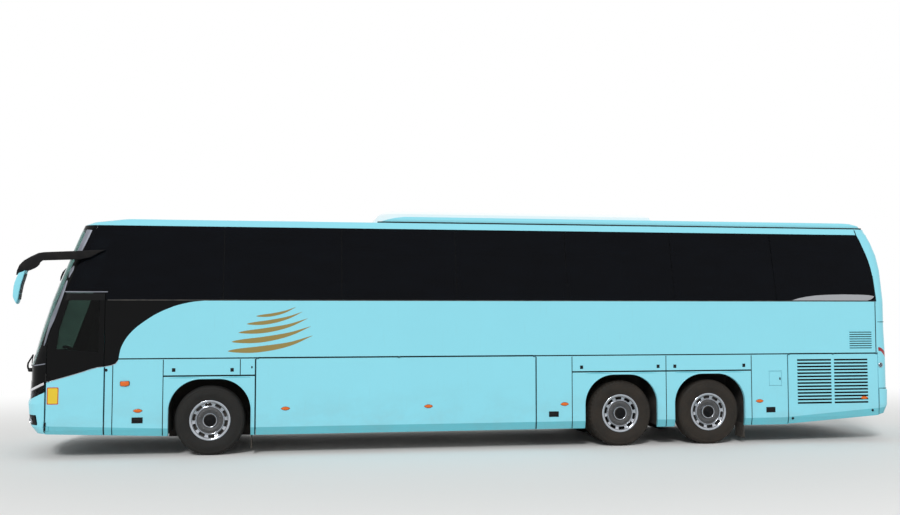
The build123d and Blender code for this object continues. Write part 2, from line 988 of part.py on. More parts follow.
with BuildPart() as roof_skin:
    add(wall_skin.part)
    add(block(tail_x, nose_x, -far, far, cant_z, crown_z + 10), mode=Mode.INTERSECT)
    add(raised_roof.part)
finish(roof_skin.part, "roof_skin")

# Air conditioning unit on the roof
unit_half = 800
unit_points = (
    (1738, crown_z - 35),
    (1661, 3684),
    (1531, 3760),
    (1446, 3768),
    (-2731, 3768),
    (-2871, 3735),
    (-2941, raised_top_z - 20),
)
with BuildPart() as air_unit:
    add(side_cut(unit_points, -unit_half, unit_half))
    chamfer(air_unit.edges().filter_by(Axis.X).group_by(Axis.Z)[-1], length=45)
    add(raised_roof.part, mode=Mode.SUBTRACT)
    add(outer_form, mode=Mode.SUBTRACT)
finish(air_unit.part, "air_unit")

# Floors
step_front_x = 4890
floor_rear_x = -6690
with BuildPart() as saloon_floor:
    add(
        block(
            floor_rear_x, step_front_x, -floor_half, floor_half,
            saloon_floor_z - floor_t, saloon_floor_z,
        )
    )
finish(saloon_floor.part, "saloon_floor")

cab_front_x = 6380
stair_half = 380
stair_y = -450
stair_rise = (saloon_floor_z - cab_floor_z) / 3
stair_tread = 260
entry_step_z = 415
entry_rise = (cab_floor_z - entry_step_z) / 3
entry_reach = floor_half - 25
entry_tread = (entry_reach + stair_y) / 3
with BuildPart() as cab_floor:
    add(
        block(
            step_front_x, cab_front_x, stair_y, floor_half,
            cab_floor_z - floor_t, cab_floor_z,
        )
    )
    add(
        block(
            step_front_x, step_front_x + 20, -floor_half, floor_half,
            cab_floor_z - floor_t, saloon_floor_z,
        )
    )
    for i in range(2):
        add(
            block(
                step_front_x + 20, step_front_x + 20 + stair_tread * (2 - i),
                stair_y, stair_half,
                cab_floor_z, cab_floor_z + stair_rise * (i + 1),
            )
        )
    for i in range(3):
        add(
            block(
                door_rear_x + 60, cab_front_x,
                stair_y - entry_tread * (i + 1), stair_y - entry_tread * i,
                cab_floor_z - floor_t - entry_rise * (i + 1), cab_floor_z - entry_rise * (i + 1),
            )
        )
        add(
            block(
                door_rear_x + 60, cab_front_x,
                stair_y - entry_tread * i - 20, stair_y - entry_tread * i,
                cab_floor_z - floor_t - entry_rise * (i + 1), cab_floor_z - entry_rise * i,
            )
        )
    add(
        block(
            step_front_x, door_rear_x + 60, -floor_half, stair_y,
            cab_floor_z - floor_t, cab_floor_z,
        )
    )
finish(cab_floor.part, "cab_floor")

bulkhead_t = 30
bulkhead_inset = 30
with BuildPart() as luggage_hold:
    hold_x_low = hold_rear_x + bulkhead_inset
    hold_x_high = hold_front_x - bulkhead_inset
    add(
        block(
            hold_x_low, hold_x_high, -floor_half + 15, floor_half - 15,
            hold_floor_z - hold_floor_t, hold_floor_z,
        )
    )
    for x in (hold_x_low, hold_x_high - bulkhead_t):
        add(
            block(
                x, x + bulkhead_t, -floor_half + 15, floor_half - 15,
                hold_floor_z, saloon_floor_z - floor_t,
            )
        )
finish(luggage_hold.part, "luggage_hold")

# Underframe: high rails over the axles, low rails under the hold
low_rail_t = hold_floor_z - hold_floor_t - low_rail_z
post_w = 80
front_post_x = hold_front_x - 20
rear_post_x = hold_rear_x + 20
frame_rear_x = -6650
rail_points = (
    (frame_front_x, rail_foot_z),
    (frame_front_x, rail_top_z),
    (front_post_x, rail_top_z),
    (front_post_x, low_rail_z + low_rail_t),
    (rear_post_x, low_rail_z + low_rail_t),
    (rear_post_x, rail_top_z),
    (frame_rear_x, rail_top_z),
    (frame_rear_x, rail_foot_z),
    (rear_post_x - post_w, rail_foot_z),
    (rear_post_x - post_w, low_rail_z),
    (front_post_x + post_w, low_rail_z),
    (front_post_x + post_w, rail_foot_z),
)
cross_w = 80
cross_h = 60
high_cross_x = (6360, 5150, -1500, -2970, -4500, -5500, -6610)
low_cross_x = (3460, 2400, 1350, 300, -740)
with BuildPart() as underframe:
    for side in (-1, 1):
        add(side_cut(rail_points, side * rail_y - rail_w / 2, side * rail_y + rail_w / 2))
    for x in high_cross_x:
        add(
            block(
                x - cross_w / 2, x + cross_w / 2, -rail_y, rail_y,
                rail_foot_z, rail_foot_z + cross_h,
            )
        )
    for x in low_cross_x:
        add(
            block(
                x - cross_w / 2, x + cross_w / 2, -rail_y, rail_y,
                low_rail_z, low_rail_z + low_rail_t,
            )
        )
finish(underframe.part, "underframe")

# Tow lugs under the front and rear ends
tow_r = 20
tow_half = 50
tow_t = 30
front_tow_x = 6670
front_tow_z = 300
rear_tow_x = -6830
rear_tow_z = 380
with BuildPart() as tow_lugs:
    add(
        block(
            frame_front_x, frame_front_x + tow_t, -tow_half, tow_half,
            front_tow_z, rail_foot_z + cross_h,
        )
    )
    add(
        block(
            frame_front_x, front_tow_x + tow_half, -tow_half, tow_half,
            front_tow_z, front_tow_z + tow_t,
        )
    )
    add(
        block(
            frame_rear_x - tow_t, frame_rear_x, -tow_half, tow_half,
            rear_tow_z, rail_foot_z + cross_h,
        )
    )
    add(
        block(
            rear_tow_x - tow_half, frame_rear_x, -tow_half, tow_half,
            rear_tow_z, rear_tow_z + tow_t,
        )
    )
    for x, z in ((front_tow_x, front_tow_z), (rear_tow_x, rear_tow_z)):
        add(rod(x, 0, z - 1, tow_r, tow_t + 2, "z"), mode=Mode.SUBTRACT)
finish(tow_lugs.part, "tow_lugs")

# Engine over the rear cross-members, between the rails
engine_half = rail_y - rail_w / 2 - 5
with BuildPart() as engine_block:
    add(
        block(
            -6580, -5450, -engine_half, engine_half,
            rail_foot_z + cross_h, 1290,
        )
    )
finish(engine_block.part, "engine_block")

# Front axle: dropped beam, kingpin bosses and spring seats
beam_half = 45
beam_drop_z = 390
beam_end_z = tyre_r - 42
beam_t = 84
boss_r = 45
boss_h = 120
lug_h = 40
lug_gap = 1
spring_r = 80
with BuildPart() as front_axle:
    for side in (-1, 1):
        beam = (
            (0, beam_drop_z),
            (side * 600, beam_drop_z),
            (side * 780, beam_end_z),
            (side * kingpin_y, beam_end_z),
            (side * kingpin_y, beam_end_z + beam_t),
            (side * 740, beam_end_z + beam_t),
            (side * 560, beam_drop_z + beam_t),
            (0, beam_drop_z + beam_t),
        )
        with BuildSketch(Plane.YZ.offset(front_axle_x - beam_half)):
            with BuildLine():
                Polyline(*beam, close=True)
            make_face()
        extrude(amount=2 * beam_half)
        add(
            rod(
                front_axle_x, side * kingpin_y, tyre_r - boss_h / 2,
                boss_r, boss_h, "z",
            )
        )
        add(
            rod(
                front_axle_x, side * kingpin_y, tyre_r - boss_h / 2 - lug_h,
                kingpin_r, boss_h + 2 * lug_h, "z",
            )
        )
        add(
            rod(
                front_axle_x, side * rail_y, beam_drop_z + beam_t - 10,
                spring_r, rail_foot_z - beam_drop_z - beam_t + 10, "z",
            )
        )
finish(front_axle.part, "front_axle")

# Steering knuckle: lugs above and below the boss, web and spindle
web_y = kingpin_y + boss_r + 5
web_t = 28
spindle_end_y = wheel_y + 105
with BuildPart() as knuckle:
    for foot in (tyre_r - boss_h / 2 - lug_gap - lug_h, tyre_r + boss_h / 2 + lug_gap):
        add(rod(front_axle_x, kingpin_y, foot, boss_r, lug_h, "z"))
        add(
            block(
                front_axle_x - boss_r, front_axle_x + boss_r,
                kingpin_y, web_y + web_t, foot, foot + lug_h,
            )
        )
    add(
        block(
            front_axle_x - boss_r, front_axle_x + boss_r, web_y, web_y + web_t,
            tyre_r - boss_h / 2 - lug_h, tyre_r + boss_h / 2 + lug_h,
        )
    )
    add(rod(front_axle_x, web_y, tyre_r, spindle_r, spindle_end_y - web_y, "y"))
    add(
        rod(
            front_axle_x, kingpin_y, tyre_r - boss_h,
            kingpin_r + running_gap, 2 * boss_h, "z",
        ),
        mode=Mode.SUBTRACT,
    )
finish(knuckle.part, "left_knuckle")
finish(mirrored(knuckle.part), "right_knuckle")

# Rear axles: tube, spindles and spring seats
tube_r = 70
with BuildPart() as drive_axle:
    tube_end = 770
    add(rod(drive_axle_x, -tube_end, tyre_r, tube_r, 2 * tube_end, "y"))
    add(rod(drive_axle_x, -spindle_end_y, tyre_r, spindle_r, 2 * spindle_end_y, "y"))
    add(rod(drive_axle_x, -130, tyre_r, 185, 260, "y"))
    for side in (-1, 1):
        add(
            rod(
                drive_axle_x, side * rail_y, tyre_r, spring_r,
                rail_foot_z - tyre_r, "z",
            )
        )
finish(drive_axle.part, "drive_axle")

with BuildPart() as tag_axle:
    tube_end = 1000
    add(rod(tag_axle_x, -tube_end, tyre_r, tube_r, 2 * tube_end, "y"))
    add(rod(tag_axle_x, -spindle_end_y, tyre_r, spindle_r, 2 * spindle_end_y, "y"))
    for side in (-1, 1):
        add(
            rod(
                tag_axle_x, side * rail_y, tyre_r, spring_r,
                rail_foot_z - tyre_r, "z",
            )
        )
finish(tag_axle.part, "tag_axle")


def turned(profile, x, side):
    """A ring or disc turned about a wheel's axle; profile is radius, distance."""
    with BuildPart() as ring:
        with BuildSketch(Plane((x, 0, tyre_r), x_dir=(1, 0, 0), z_dir=(0, 0, 1))):
            with BuildLine():
                Polyline(*[(r, side * y) for r, y in profile], close=True)
            make_face()
        revolve(axis=Axis((x, 0, tyre_r), (0, 1, 0)))
    return ring.part


# Tyre section: radius, distance from its middle
bead_r = rim_r + seat_gap
bead_half = rim_w / 2 - 9
tyre_section = (
    (bead_r, -bead_half),
    (rim_flange_r + 2, -bead_half),
    (400, -tyre_w / 2),
    (496, -tyre_w / 2 + 10),
    (tyre_r, -tyre_w / 2 + 34),
    (tyre_r, tyre_w / 2 - 34),
    (496, tyre_w / 2 - 10),
    (400, tyre_w / 2),
    (rim_flange_r + 2, bead_half),
    (bead_r, bead_half),
)


def tyre_at(x, y, side):
    """One tyre."""
    return turned([(r, y + d) for r, d in tyre_section], x, side)


# Single wheel section: radius, distance from the coach's middle
well_r = 262
flange_t = 8
bore_r = spindle_r + running_gap
cap_r = 88
rim_in = wheel_y - rim_w / 2
rim_out = wheel_y + rim_w / 2
disc_in = wheel_y + 45
disc_out = wheel_y + 57
cap_y = wheel_y + 125
cap_in = spindle_end_y + 3


def rim_section(hub_in, disc_low, disc_high, barrels):
    """Hub, disc and barrels of a wheel as one section."""
    outer = [(bore_r, hub_in), (hub_r, hub_in), (hub_r, disc_low), (well_r, disc_low)]
    for low, high in barrels:
        outer += [
            (well_r if low == barrels[0][0] else rim_r - 9, low),
            (rim_flange_r, low),
            (rim_flange_r, low + flange_t),
            (rim_r, low + flange_t),
            (rim_r, high - flange_t),
            (rim_flange_r, high - flange_t),
            (rim_flange_r, high),
            (well_r if high == barrels[-1][1] else rim_r - 9, high),
        ]
    outer += [
        (well_r, disc_high), (hub_r, disc_high), (hub_r, cap_y - 15),
        (cap_r, cap_y), (0, cap_y), (0, cap_in), (bore_r, cap_in),
    ]
    return outer


hand_holes = 10
hand_hole_r = 24
hand_hole_ring = 190


def rim_with_holes(section, x, disc_low, disc_high, side):
    """A wheel with its ring of hand holes."""
    with BuildPart() as rim:
        add(turned(section, x, side))
        ring_y = max(side * disc_low, side * disc_high) + 5
        with BuildSketch(Plane((x, ring_y, tyre_r), x_dir=(1, 0, 0), z_dir=(0, 1, 0))):
            with PolarLocations(hand_hole_ring, hand_holes):
                Circle(hand_hole_r)
        extrude(amount=-(disc_high - disc_low) - 10, mode=Mode.SUBTRACT)
    return rim.part


single_section = rim_section(web_y + web_t + 5, disc_in, disc_out, ((rim_in, rim_out),))
inner_y = wheel_y - twin_pitch
twin_disc_in = (wheel_y + inner_y) / 2 - 12
twin_disc_out = (wheel_y + inner_y) / 2 + 12
twin_section = rim_section(
    780, twin_disc_in, twin_disc_out,
    ((inner_y - rim_w / 2, inner_y + rim_w / 2), (rim_in, rim_out)),
)
for side, hand in ((1, "left"), (-1, "right")):
    for axle_x, name in ((front_axle_x, "front"), (tag_axle_x, "tag")):
        finish(tyre_at(axle_x, wheel_y, side), f"{hand}_{name}_tyre")
        rim = rim_with_holes(single_section, axle_x, disc_in, disc_out, side)
        finish(rim, f"{hand}_{name}_rim")
    with BuildPart() as twin_tyres:
        add(tyre_at(drive_axle_x, wheel_y, side))
        add(tyre_at(drive_axle_x, inner_y, side))
    finish(twin_tyres.part, f"{hand}_drive_tyres")
    rim = rim_with_holes(twin_section, drive_axle_x, twin_disc_in, twin_disc_out, side)
    finish(rim, f"{hand}_drive_rims")

# Seats: outline from the front edge of the cushion and the floor
seat_profile = (
    (-330, 0),
    (-150, 0),
    (-150, 320),
    (0, 330),
    (0, 430),
    (-380, 430),
    (-490, 1150),
    (-570, 1150),
    (-470, 330),
    (-330, 320),
)
seat_rows = 14
seat_pitch = 780
first_seat_x = 4400
seat_in = 250
seat_out = 1145
with BuildPart() as left_seats:
    for i in range(seat_rows):
        place = first_seat_x - seat_pitch * i
        outline = [(place + x, saloon_floor_z + z) for x, z in seat_profile]
        add(side_cut(outline, seat_in, seat_out))

driver_seat_x = 5960
driver_y = 620
with BuildPart() as driver_seat:
    outline = [(driver_seat_x + x, cab_floor_z + z) for x, z in seat_profile]
    add(side_cut(outline, driver_y - 260, driver_y + 260))
with BuildPart() as seats:
    add(left_seats.part)
    add(mirrored(left_seats.part))
    add(driver_seat.part)
finish(seats.part, "seats")

# Dashboard across the front, deeper at the driver
dash_points = (
    (6330, 1180),
    (6330, 1330),
    (6450, 1410),
    (nose_x + 50, 1410),
    (nose_x + 50, mask_foot_z),
    (6600, mask_foot_z),
)
with BuildPart() as dashboard:
    add(side_cut(dash_points, -350, 1180))
    add(block(6600, nose_x + 50, -1180, -350, mask_foot_z, 1380))
    add(inner_form, mode=Mode.INTERSECT)
finish(dashboard.part, "dashboard")

wheel_hub = (6250, driver_y, 1520)
wheel_lean = Plane(wheel_hub, x_dir=(0, 1, 0), z_dir=(-sin(radians(28)), 0, cos(radians(28))))
steer_r = 225
steer_grip_r = 16
with BuildPart() as steering_wheel:
    with Locations(wheel_lean):
        Torus(steer_r, steer_grip_r)
        Box(2 * steer_r, 34, 12)
        Box(34, 2 * steer_r, 12)
        Cylinder(52, 30)
        Cylinder(26, 420, align=(Align.CENTER, Align.CENTER, Align.MAX))
    add(dashboard.part, mode=Mode.SUBTRACT)
finish(steering_wheel.part, "steering_wheel")

# Mirrors: arms leave the roof sides and lean outwards
arm_root = (5770, 1130)
arm_angle = 11
arm_t = 64
arm_outline = (
    (5770, 3080), (6207, 3058), (6482, 3037), (6602, 3028), (6678, 3014), (6782, 2958),
    (6869, 2900), (6927, 2834), (6958, 2752), (6966, 2684), (6924, 2709), (6851, 2734),
    (6776, 2763), (6726, 2788), (6691, 2813), (6666, 2841), (6650, 2879), (6618, 2906),
    (6479, 2913), (6112, 2931), (5966, 2969), (5866, 3034),
)
arm_plane = Plane(
    (arm_root[0], arm_root[1], 0),
    x_dir=(cos(radians(arm_angle)), sin(radians(arm_angle)), 0),
    z_dir=(sin(radians(arm_angle)), -cos(radians(arm_angle)), 0),
)
with BuildPart() as mirror_arm:
    with BuildSketch(arm_plane):
        with BuildLine():
            Polyline(*[((x - arm_root[0]) / cos(radians(arm_angle)), z) for x, z in arm_outline], close=True)
        make_face()
    extrude(amount=arm_t / 2, both=True)
    add(outer_form, mode=Mode.SUBTRACT)
with BuildPart() as mirror_arms:
    add(mirror_arm.part)
    add(mirrored(mirror_arm.part))
finish(mirror_arms.part, "mirror_arms")

# The head's top edge runs 5 into the arm, which is cut out of it, so the head sits on the arm
head_outline = (
    (6820, 2751), (6851, 2739), (6924, 2714), (6941, 2670), (6955, 2638), (6976, 2574), (6991, 2477),
    (6995, 2380), (6970, 2313), (6934, 2266), (6924, 2276), (6910, 2332), (6897, 2429), (6877, 2542),
    (6848, 2639),
)
head_in = 1290
head_out = 1470
with BuildPart() as mirror_heads:
    add(side_cut(head_outline, head_in, head_out))
    add(mirror_arm.part, mode=Mode.SUBTRACT)
    mirror(about=Plane.XZ)
finish(mirror_heads.part, "mirror_heads")

# Wipers parked along the windscreen's foot
wiper_z = screen_foot_z - 25
wiper_h = 14
wiper_out = 10
wiper_t = 12
wiper_reach = 980
wiper_root_y = 90
screen_centre = nose_x - front_radius
with BuildPart() as wipers:
    with BuildSketch(Plane.XY.offset(wiper_z)):
        with Locations((screen_centre, 0)):
            Circle(front_radius + wiper_out + wiper_t)
            Circle(front_radius + wiper_out, mode=Mode.SUBTRACT)
        with Locations((nose_x, (wiper_reach + wiper_root_y) / 2)):
            Rectangle(600, wiper_reach - wiper_root_y, mode=Mode.INTERSECT)
    extrude(amount=wiper_h)
    add(
        rod(
            nose_x - wall / 2, wiper_root_y + 30, wiper_z + wiper_h / 2,
            wiper_h, wall / 2 + wiper_out + 2, "x",
        )
    )
    add(outer_form, mode=Mode.SUBTRACT)
    mirror(about=Plane.XZ)
finish(wipers.part, "wipers")

# Mudflaps hang from the rear ends of the front and tag wheel housings
flap_plate_t = 12
mudflap_foot_z = 90
mudflap_w = 320
with BuildPart() as mudflaps:
    for axle_x in (front_axle_x, tag_axle_x):
        plate_x = axle_x - arch_half - 2 - housing_t
        add(
            block(
                plate_x + 1, plate_x + 1 + flap_plate_t,
                half_width - wall - 25 - mudflap_w, half_width - wall - 25,
                mudflap_foot_z, housing_foot_z,
            )
        )
    mirror(about=Plane.XZ)
finish(mudflaps.part, "mudflaps")
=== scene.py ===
import bpy
import bmesh
import math
from mathutils import Vector, Matrix
from mathutils.bvhtree import BVHTree


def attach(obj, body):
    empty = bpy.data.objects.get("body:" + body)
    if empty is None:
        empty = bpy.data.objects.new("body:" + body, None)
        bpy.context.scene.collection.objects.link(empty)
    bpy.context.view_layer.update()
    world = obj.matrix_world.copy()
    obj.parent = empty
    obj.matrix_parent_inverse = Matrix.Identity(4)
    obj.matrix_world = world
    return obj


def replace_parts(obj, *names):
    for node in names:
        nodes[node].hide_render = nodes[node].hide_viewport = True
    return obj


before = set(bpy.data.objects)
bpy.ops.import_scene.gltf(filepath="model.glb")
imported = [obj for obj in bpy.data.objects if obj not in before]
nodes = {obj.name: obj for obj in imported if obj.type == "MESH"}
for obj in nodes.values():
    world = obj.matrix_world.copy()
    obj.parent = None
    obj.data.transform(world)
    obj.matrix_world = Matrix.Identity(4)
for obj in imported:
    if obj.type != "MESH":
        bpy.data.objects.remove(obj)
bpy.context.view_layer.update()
sides = ((1, "left"), (-1, "right"))
print("coach frame loaded,", len(nodes), "parts")


# mesh helpers used by every piece
def makePiece(name, shape, material, body="coach", sharp=32):
    bmesh.ops.recalc_face_normals(shape, faces=shape.faces)
    mesh = bpy.data.meshes.new(name)
    shape.to_mesh(mesh)
    shape.free()
    piece = bpy.data.objects.new(name, mesh)
    bpy.context.scene.collection.objects.link(piece)
    mesh.materials.append(material)
    mesh.polygons.foreach_set("use_smooth", [True] * len(mesh.polygons))
    mesh.set_sharp_from_angle(angle=math.radians(sharp))
    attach(piece, body)
    return piece


def joinRings(shape, rings):
    for before, after in zip(rings, rings[1:]):
        count = len(before)
        for i in range(count):
            k = (i + 1) % count
            shape.faces.new((before[i], before[k], after[k], after[i]))
    shape.faces.new(rings[0])
    shape.faces.new(rings[-1])


# a closed body through loops of points
def loft(shape, loops):
    joinRings(shape, [[shape.verts.new(place) for place in loop] for loop in loops])


# a box between two opposite corners, its edges rounded
def roundedBox(shape, corner, opposite, radius, segments=2):
    low = Vector([min(pair) for pair in zip(corner, opposite)])
    high = Vector([max(pair) for pair in zip(corner, opposite)])
    size, middle = high - low, (high + low) / 2
    made = bmesh.ops.create_cube(shape, size=1.0)["verts"]
    for vert in made:
        vert.co = Vector((vert.co.x * size.x, vert.co.y * size.y, vert.co.z * size.z)) + middle
    edges = {edge for vert in made for edge in vert.link_edges}
    bmesh.ops.bevel(
        shape, geom=list(edges), offset=min(radius, min(size) * 0.45),
        segments=segments, profile=0.5, affect="EDGES",
    )


# the outline is turned about a line along Y; profile points are radius and distance from the middle
def turnRound(shape, profile, centreX, centreZ, side, segments, closed=False):
    rings = []
    for i in range(segments):
        angle = 2 * math.pi * i / segments
        cos, sin = math.cos(angle), math.sin(angle)
        rings.append([
            shape.verts.new((centreX + r * cos, side * out, centreZ + r * sin)) for r, out in profile
        ])
    count = len(profile)
    for i in range(segments):
        here, there = rings[i], rings[(i + 1) % segments]
        for k in range(count if closed else count - 1):
            n = (k + 1) % count
            shape.faces.new((here[k], here[n], there[n], there[k]))
    return rings


# a short turned knob, lens or cap on any surface
def knob(shape, centre, outward, profile, segments=20, stretch=(1, 1)):
    outward = outward.normalized()
    along = Vector((0, 0, 1)).cross(outward)
    if along.length < 0.01:
        along = Vector((1, 0, 0))
    along.normalize()
    up = outward.cross(along)
    angles = [2 * math.pi * i / segments for i in range(segments)]
    loft(shape, [[
        centre + along * (radius * stretch[0] * math.cos(angle))
        + up * (radius * stretch[1] * math.sin(angle)) + outward * height
        for angle in angles
    ] for radius, height in profile])


# finding the coach's outer skin
skinParts = (
    "side_walls", "skirts", "left_luggage_door", "right_luggage_door", "left_louvre_door",
    "right_louvre_door", "driver_door", "entry_door", "front_bumper", "front_mask", "rear_wall",
    "rear_bumper", "window_frames", "window_glass", "roof_skin", "engine_lid", "fuel_flap",
    "windscreen", "front_frame", "front_lamps", "tail_lamps", "driver_door_glass",
)


def treeOf(names):
    points, faces = [], []
    for name in names:
        start = len(points)
        mesh = nodes[name].data
        points += [vert.co.copy() for vert in mesh.vertices]
        faces += [[start + i for i in poly.vertices] for poly in mesh.polygons]
    return BVHTree.FromPolygons(points, faces)


skin = treeOf(skinParts)
rayFrom = (9, 3, 6)           # how far out a ray starts along X, Y and Z
seamStep = 0.012
proudBy = 0.003               # a close hit counts only if it lies this much farther out
closeBy = ((0, 0), (seamStep, 0), (-seamStep, 0), (0, seamStep), (0, -seamStep))


# the outermost of a few close hits, so that a seam between panels doesn't swallow the point
def outermost(axis, level, z, sign):
    inward, best = Vector((0, 0, 0)), None
    inward[axis] = -sign
    for shift, rise in closeBy:
        start = [level + shift, level + shift, z + rise]
        start[axis] = sign * rayFrom[axis]
        point, normal, _, _ = skin.ray_cast(Vector(start), inward)
        if point and (best is None or abs(point[axis]) > abs(best[0][axis]) + proudBy):
            place = Vector((level, level, z))
            place[axis] = point[axis]
            best = (place, normal)
    point, normal = best
    return point, normal if normal[axis] * sign > 0 else -normal


def skinAt(x, z, side):
    return outermost(1, x, z, side)


def endAt(y, z, end):
    return outermost(0, y, z, end)


def topAt(x, y, tree=skin):
    point, normal, _, _ = tree.ray_cast(Vector((x, y, rayFrom[2])), Vector((0, 0, -1)))
    return point, normal if normal.z > 0 else -normal


# how a path's two numbers are read: side is X and Z, end is Y and Z, top is X and Y
def placeOn(face, first, second):
    kind, sign = face
    if kind == "side":
        return skinAt(first, second, sign)
    if kind == "end":
        return endAt(first, second, sign)
    return topAt(first, second)


def wayOn(face, way):
    return {
        "side": Vector((way.x, 0, way.y)), "end": Vector((0, way.x, way.y)), "top": Vector((way.x, way.y, 0)),
    }[face[0]]


def spacedPath(points, step, smooth):
    path = [Vector(p).to_3d() for p in points]
    fine = []
    for i in range(len(path) - 1):
        a, b = path[i], path[i + 1]
        before = path[i - 1] if i else a + (a - b)
        after = path[i + 2] if i + 2 < len(path) else b + (b - a)
        count = max(1, math.ceil((b - a).length / step))
        for k in range(count):
            t = k / count
            if smooth:
                fine.append(0.5 * (
                    2 * a + (b - before) * t + (2 * before - 5 * a + 4 * b - after) * t * t
                    + (3 * a - before - 3 * b + after) * t ** 3
                ))
            else:
                fine.append(a.lerp(b, t))
    fine.append(path[-1])
    return fine


# sections of a strip: shares of its width and of its height
flatSection = ((-0.5, -0.6), (-0.5, 0.6), (-0.38, 1), (0.38, 1), (0.5, 0.6), (0.5, -0.6))
roundSection = (
    (-0.5, -0.6), (-0.5, 0.15), (-0.38, 0.65), (-0.16, 0.96),
    (0.16, 0.96), (0.38, 0.65), (0.5, 0.15), (0.5, -0.6),
)


# a strip laid along the skin; width may be a number or a function of the share of the path
def layStrip(shape, points, width, height, face, section=flatSection, step=0.12, smooth=False, lift=0.0):
    path = spacedPath(points, step, smooth)
    loops = []
    for i, place in enumerate(path):
        point, normal = placeOn(face, place.x, place.y)
        way = wayOn(face, path[min(i + 1, len(path) - 1)] - path[max(i - 1, 0)])
        across = normal.cross(way).normalized()
        here = width(i / (len(path) - 1)) if callable(width) else width
        loops.append([
            point + normal * lift + across * (u * here) + normal * (v * height) for u, v in section
        ])
    loft(shape, loops)


# a piece that is made of strips of one size
def stripPiece(name, lines, width, height, face, material, slotName="trim_plastic", body="coach", **how):
    shape = bmesh.new()
    for line in lines:
        layStrip(shape, line, width, height, face, **how)
    return makePiece(name, shape, material, body)


# a piece that is made of knobs of one profile, each at a point with its normal
def knobPiece(name, places, profile, segments, material, body="coach", sharp=32):
    shape = bmesh.new()
    for point, normal in places:
        knob(shape, point, normal, profile, segments)
    return makePiece(name, shape, material, body, sharp)


def aroundCorners(corners):
    return list(zip(corners, corners[1:] + corners[:1]))


# an upright rectangle with cut corners, from its low left corner on
def cutRectangle(low, high, foot, top, cut):
    return (
        (low + cut, foot), (high - cut, foot), (high, foot + cut), (high, top - cut),
        (high - cut, top), (low + cut, top), (low, top - cut), (low, foot + cut),
    )


filmSink = 0.0006             # how far a film's back lies inside the skin


# a thin film in the shape of an outline, following the skin
def layFilm(shape, outline, height, side=1, cell=0.25):
    film = bmesh.new()
    film.faces.new([film.verts.new((x, 0, z)) for x, z in outline])
    lows = [min(p[k] for p in outline) for k in (0, 1)]
    highs = [max(p[k] for p in outline) for k in (0, 1)]
    for k, axis in ((0, Vector((1, 0, 0))), (1, Vector((0, 0, 1)))):
        count = int((highs[k] - lows[k]) / cell)
        for i in range(1, count + 1):
            at = lows[k] + (highs[k] - lows[k]) * i / (count + 1)
            bmesh.ops.bisect_plane(
                film, geom=film.verts[:] + film.edges[:] + film.faces[:],
                plane_co=axis * at, plane_no=axis,
            )
    for vert in film.verts:
        point, normal = skinAt(vert.co.x, vert.co.z, side)
        vert.co = point + normal * height
    film.verts.index_update()
    fresh = [shape.verts.new(vert.co) for vert in film.verts]
    back = [shape.verts.new(vert.co - Vector((0, side * (height + filmSink), 0))) for vert in film.verts]
    for face in film.faces:
        ids = [vert.index for vert in face.verts]
        shape.faces.new([fresh[i] for i in ids])
        shape.faces.new([back[i] for i in reversed(ids)])
    for edge in film.edges:
        if edge.is_boundary:
            i, k = (vert.index for vert in edge.verts)
            shape.faces.new((fresh[i], fresh[k], back[k], back[i]))
    film.free()


softLook = {"merge": 0.0004, "flat": 4, "sharp": 28, "segments": 3}


# a softened copy of a part of the frame: merged, its flats made whole, its edges rounded
def softCopy(name, node, material, radius, look):
    shape = bmesh.new()
    shape.from_mesh(nodes[node].data)
    bmesh.ops.remove_doubles(shape, verts=shape.verts, dist=look["merge"])
    bmesh.ops.dissolve_limit(
        shape, angle_limit=math.radians(look["flat"]), verts=shape.verts, edges=shape.edges,
    )
    sharpEdges = [
        edge for edge in shape.edges
        if len(edge.link_faces) == 2 and edge.calc_face_angle(0) > math.radians(look["sharp"])
    ]
    bmesh.ops.bevel(
        shape, geom=sharpEdges, offset=radius, segments=look["segments"], profile=0.5,
        affect="EDGES", clamp_overlap=True,
    )
    piece = makePiece(name, shape, material)
    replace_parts(piece, node)
    return piece


# finishes: small helpers that keep each node tree short
def startFinish(name):
    finish = bpy.data.materials.new(name)
    finish.use_nodes = True
    tree = finish.node_tree
    return finish, tree, tree.nodes["Principled BSDF"]


def feed(tree, socket, value):
    if isinstance(value, bpy.types.NodeSocket):
        tree.links.new(value, socket)
    elif hasattr(socket.default_value, "__len__") and len(value) == 3 and len(socket.default_value) == 4:
        socket.default_value = (*value, 1)
    else:
        socket.default_value = value


def calc(tree, operation, first, second=None, third=None):
    node = tree.nodes.new("ShaderNodeMath")
    node.operation = operation
    for socket, value in zip(node.inputs, (first, second, third)):
        if value is not None:
            feed(tree, socket, value)
    return node.outputs[0]


def blendColour(tree, share, first, second):
    node = tree.nodes.new("ShaderNodeMix")
    node.data_type = "RGBA"
    feed(tree, node.inputs[0], share)
    feed(tree, node.inputs[6], first)
    feed(tree, node.inputs[7], second)
    return node.outputs[2]


def dimmed(colour, share):
    return tuple(c * share for c in colour)


def fade(tree, value, low, high, toLow=0.0, toHigh=1.0):
    node = tree.nodes.new("ShaderNodeMapRange")
    node.interpolation_type = "SMOOTHSTEP"
    for socket, number in zip(node.inputs, (value, low, high, toLow, toHigh)):
        feed(tree, socket, number)
    return node.outputs[0]


# where a point lies on the piece, then its X, Y and Z
def whereabouts(tree):
    place = tree.nodes.new("ShaderNodeTexCoord").outputs["Object"]
    split = tree.nodes.new("ShaderNodeSeparateXYZ")
    tree.links.new(place, split.inputs[0])
    return place, split.outputs[0], split.outputs[1], split.outputs[2]


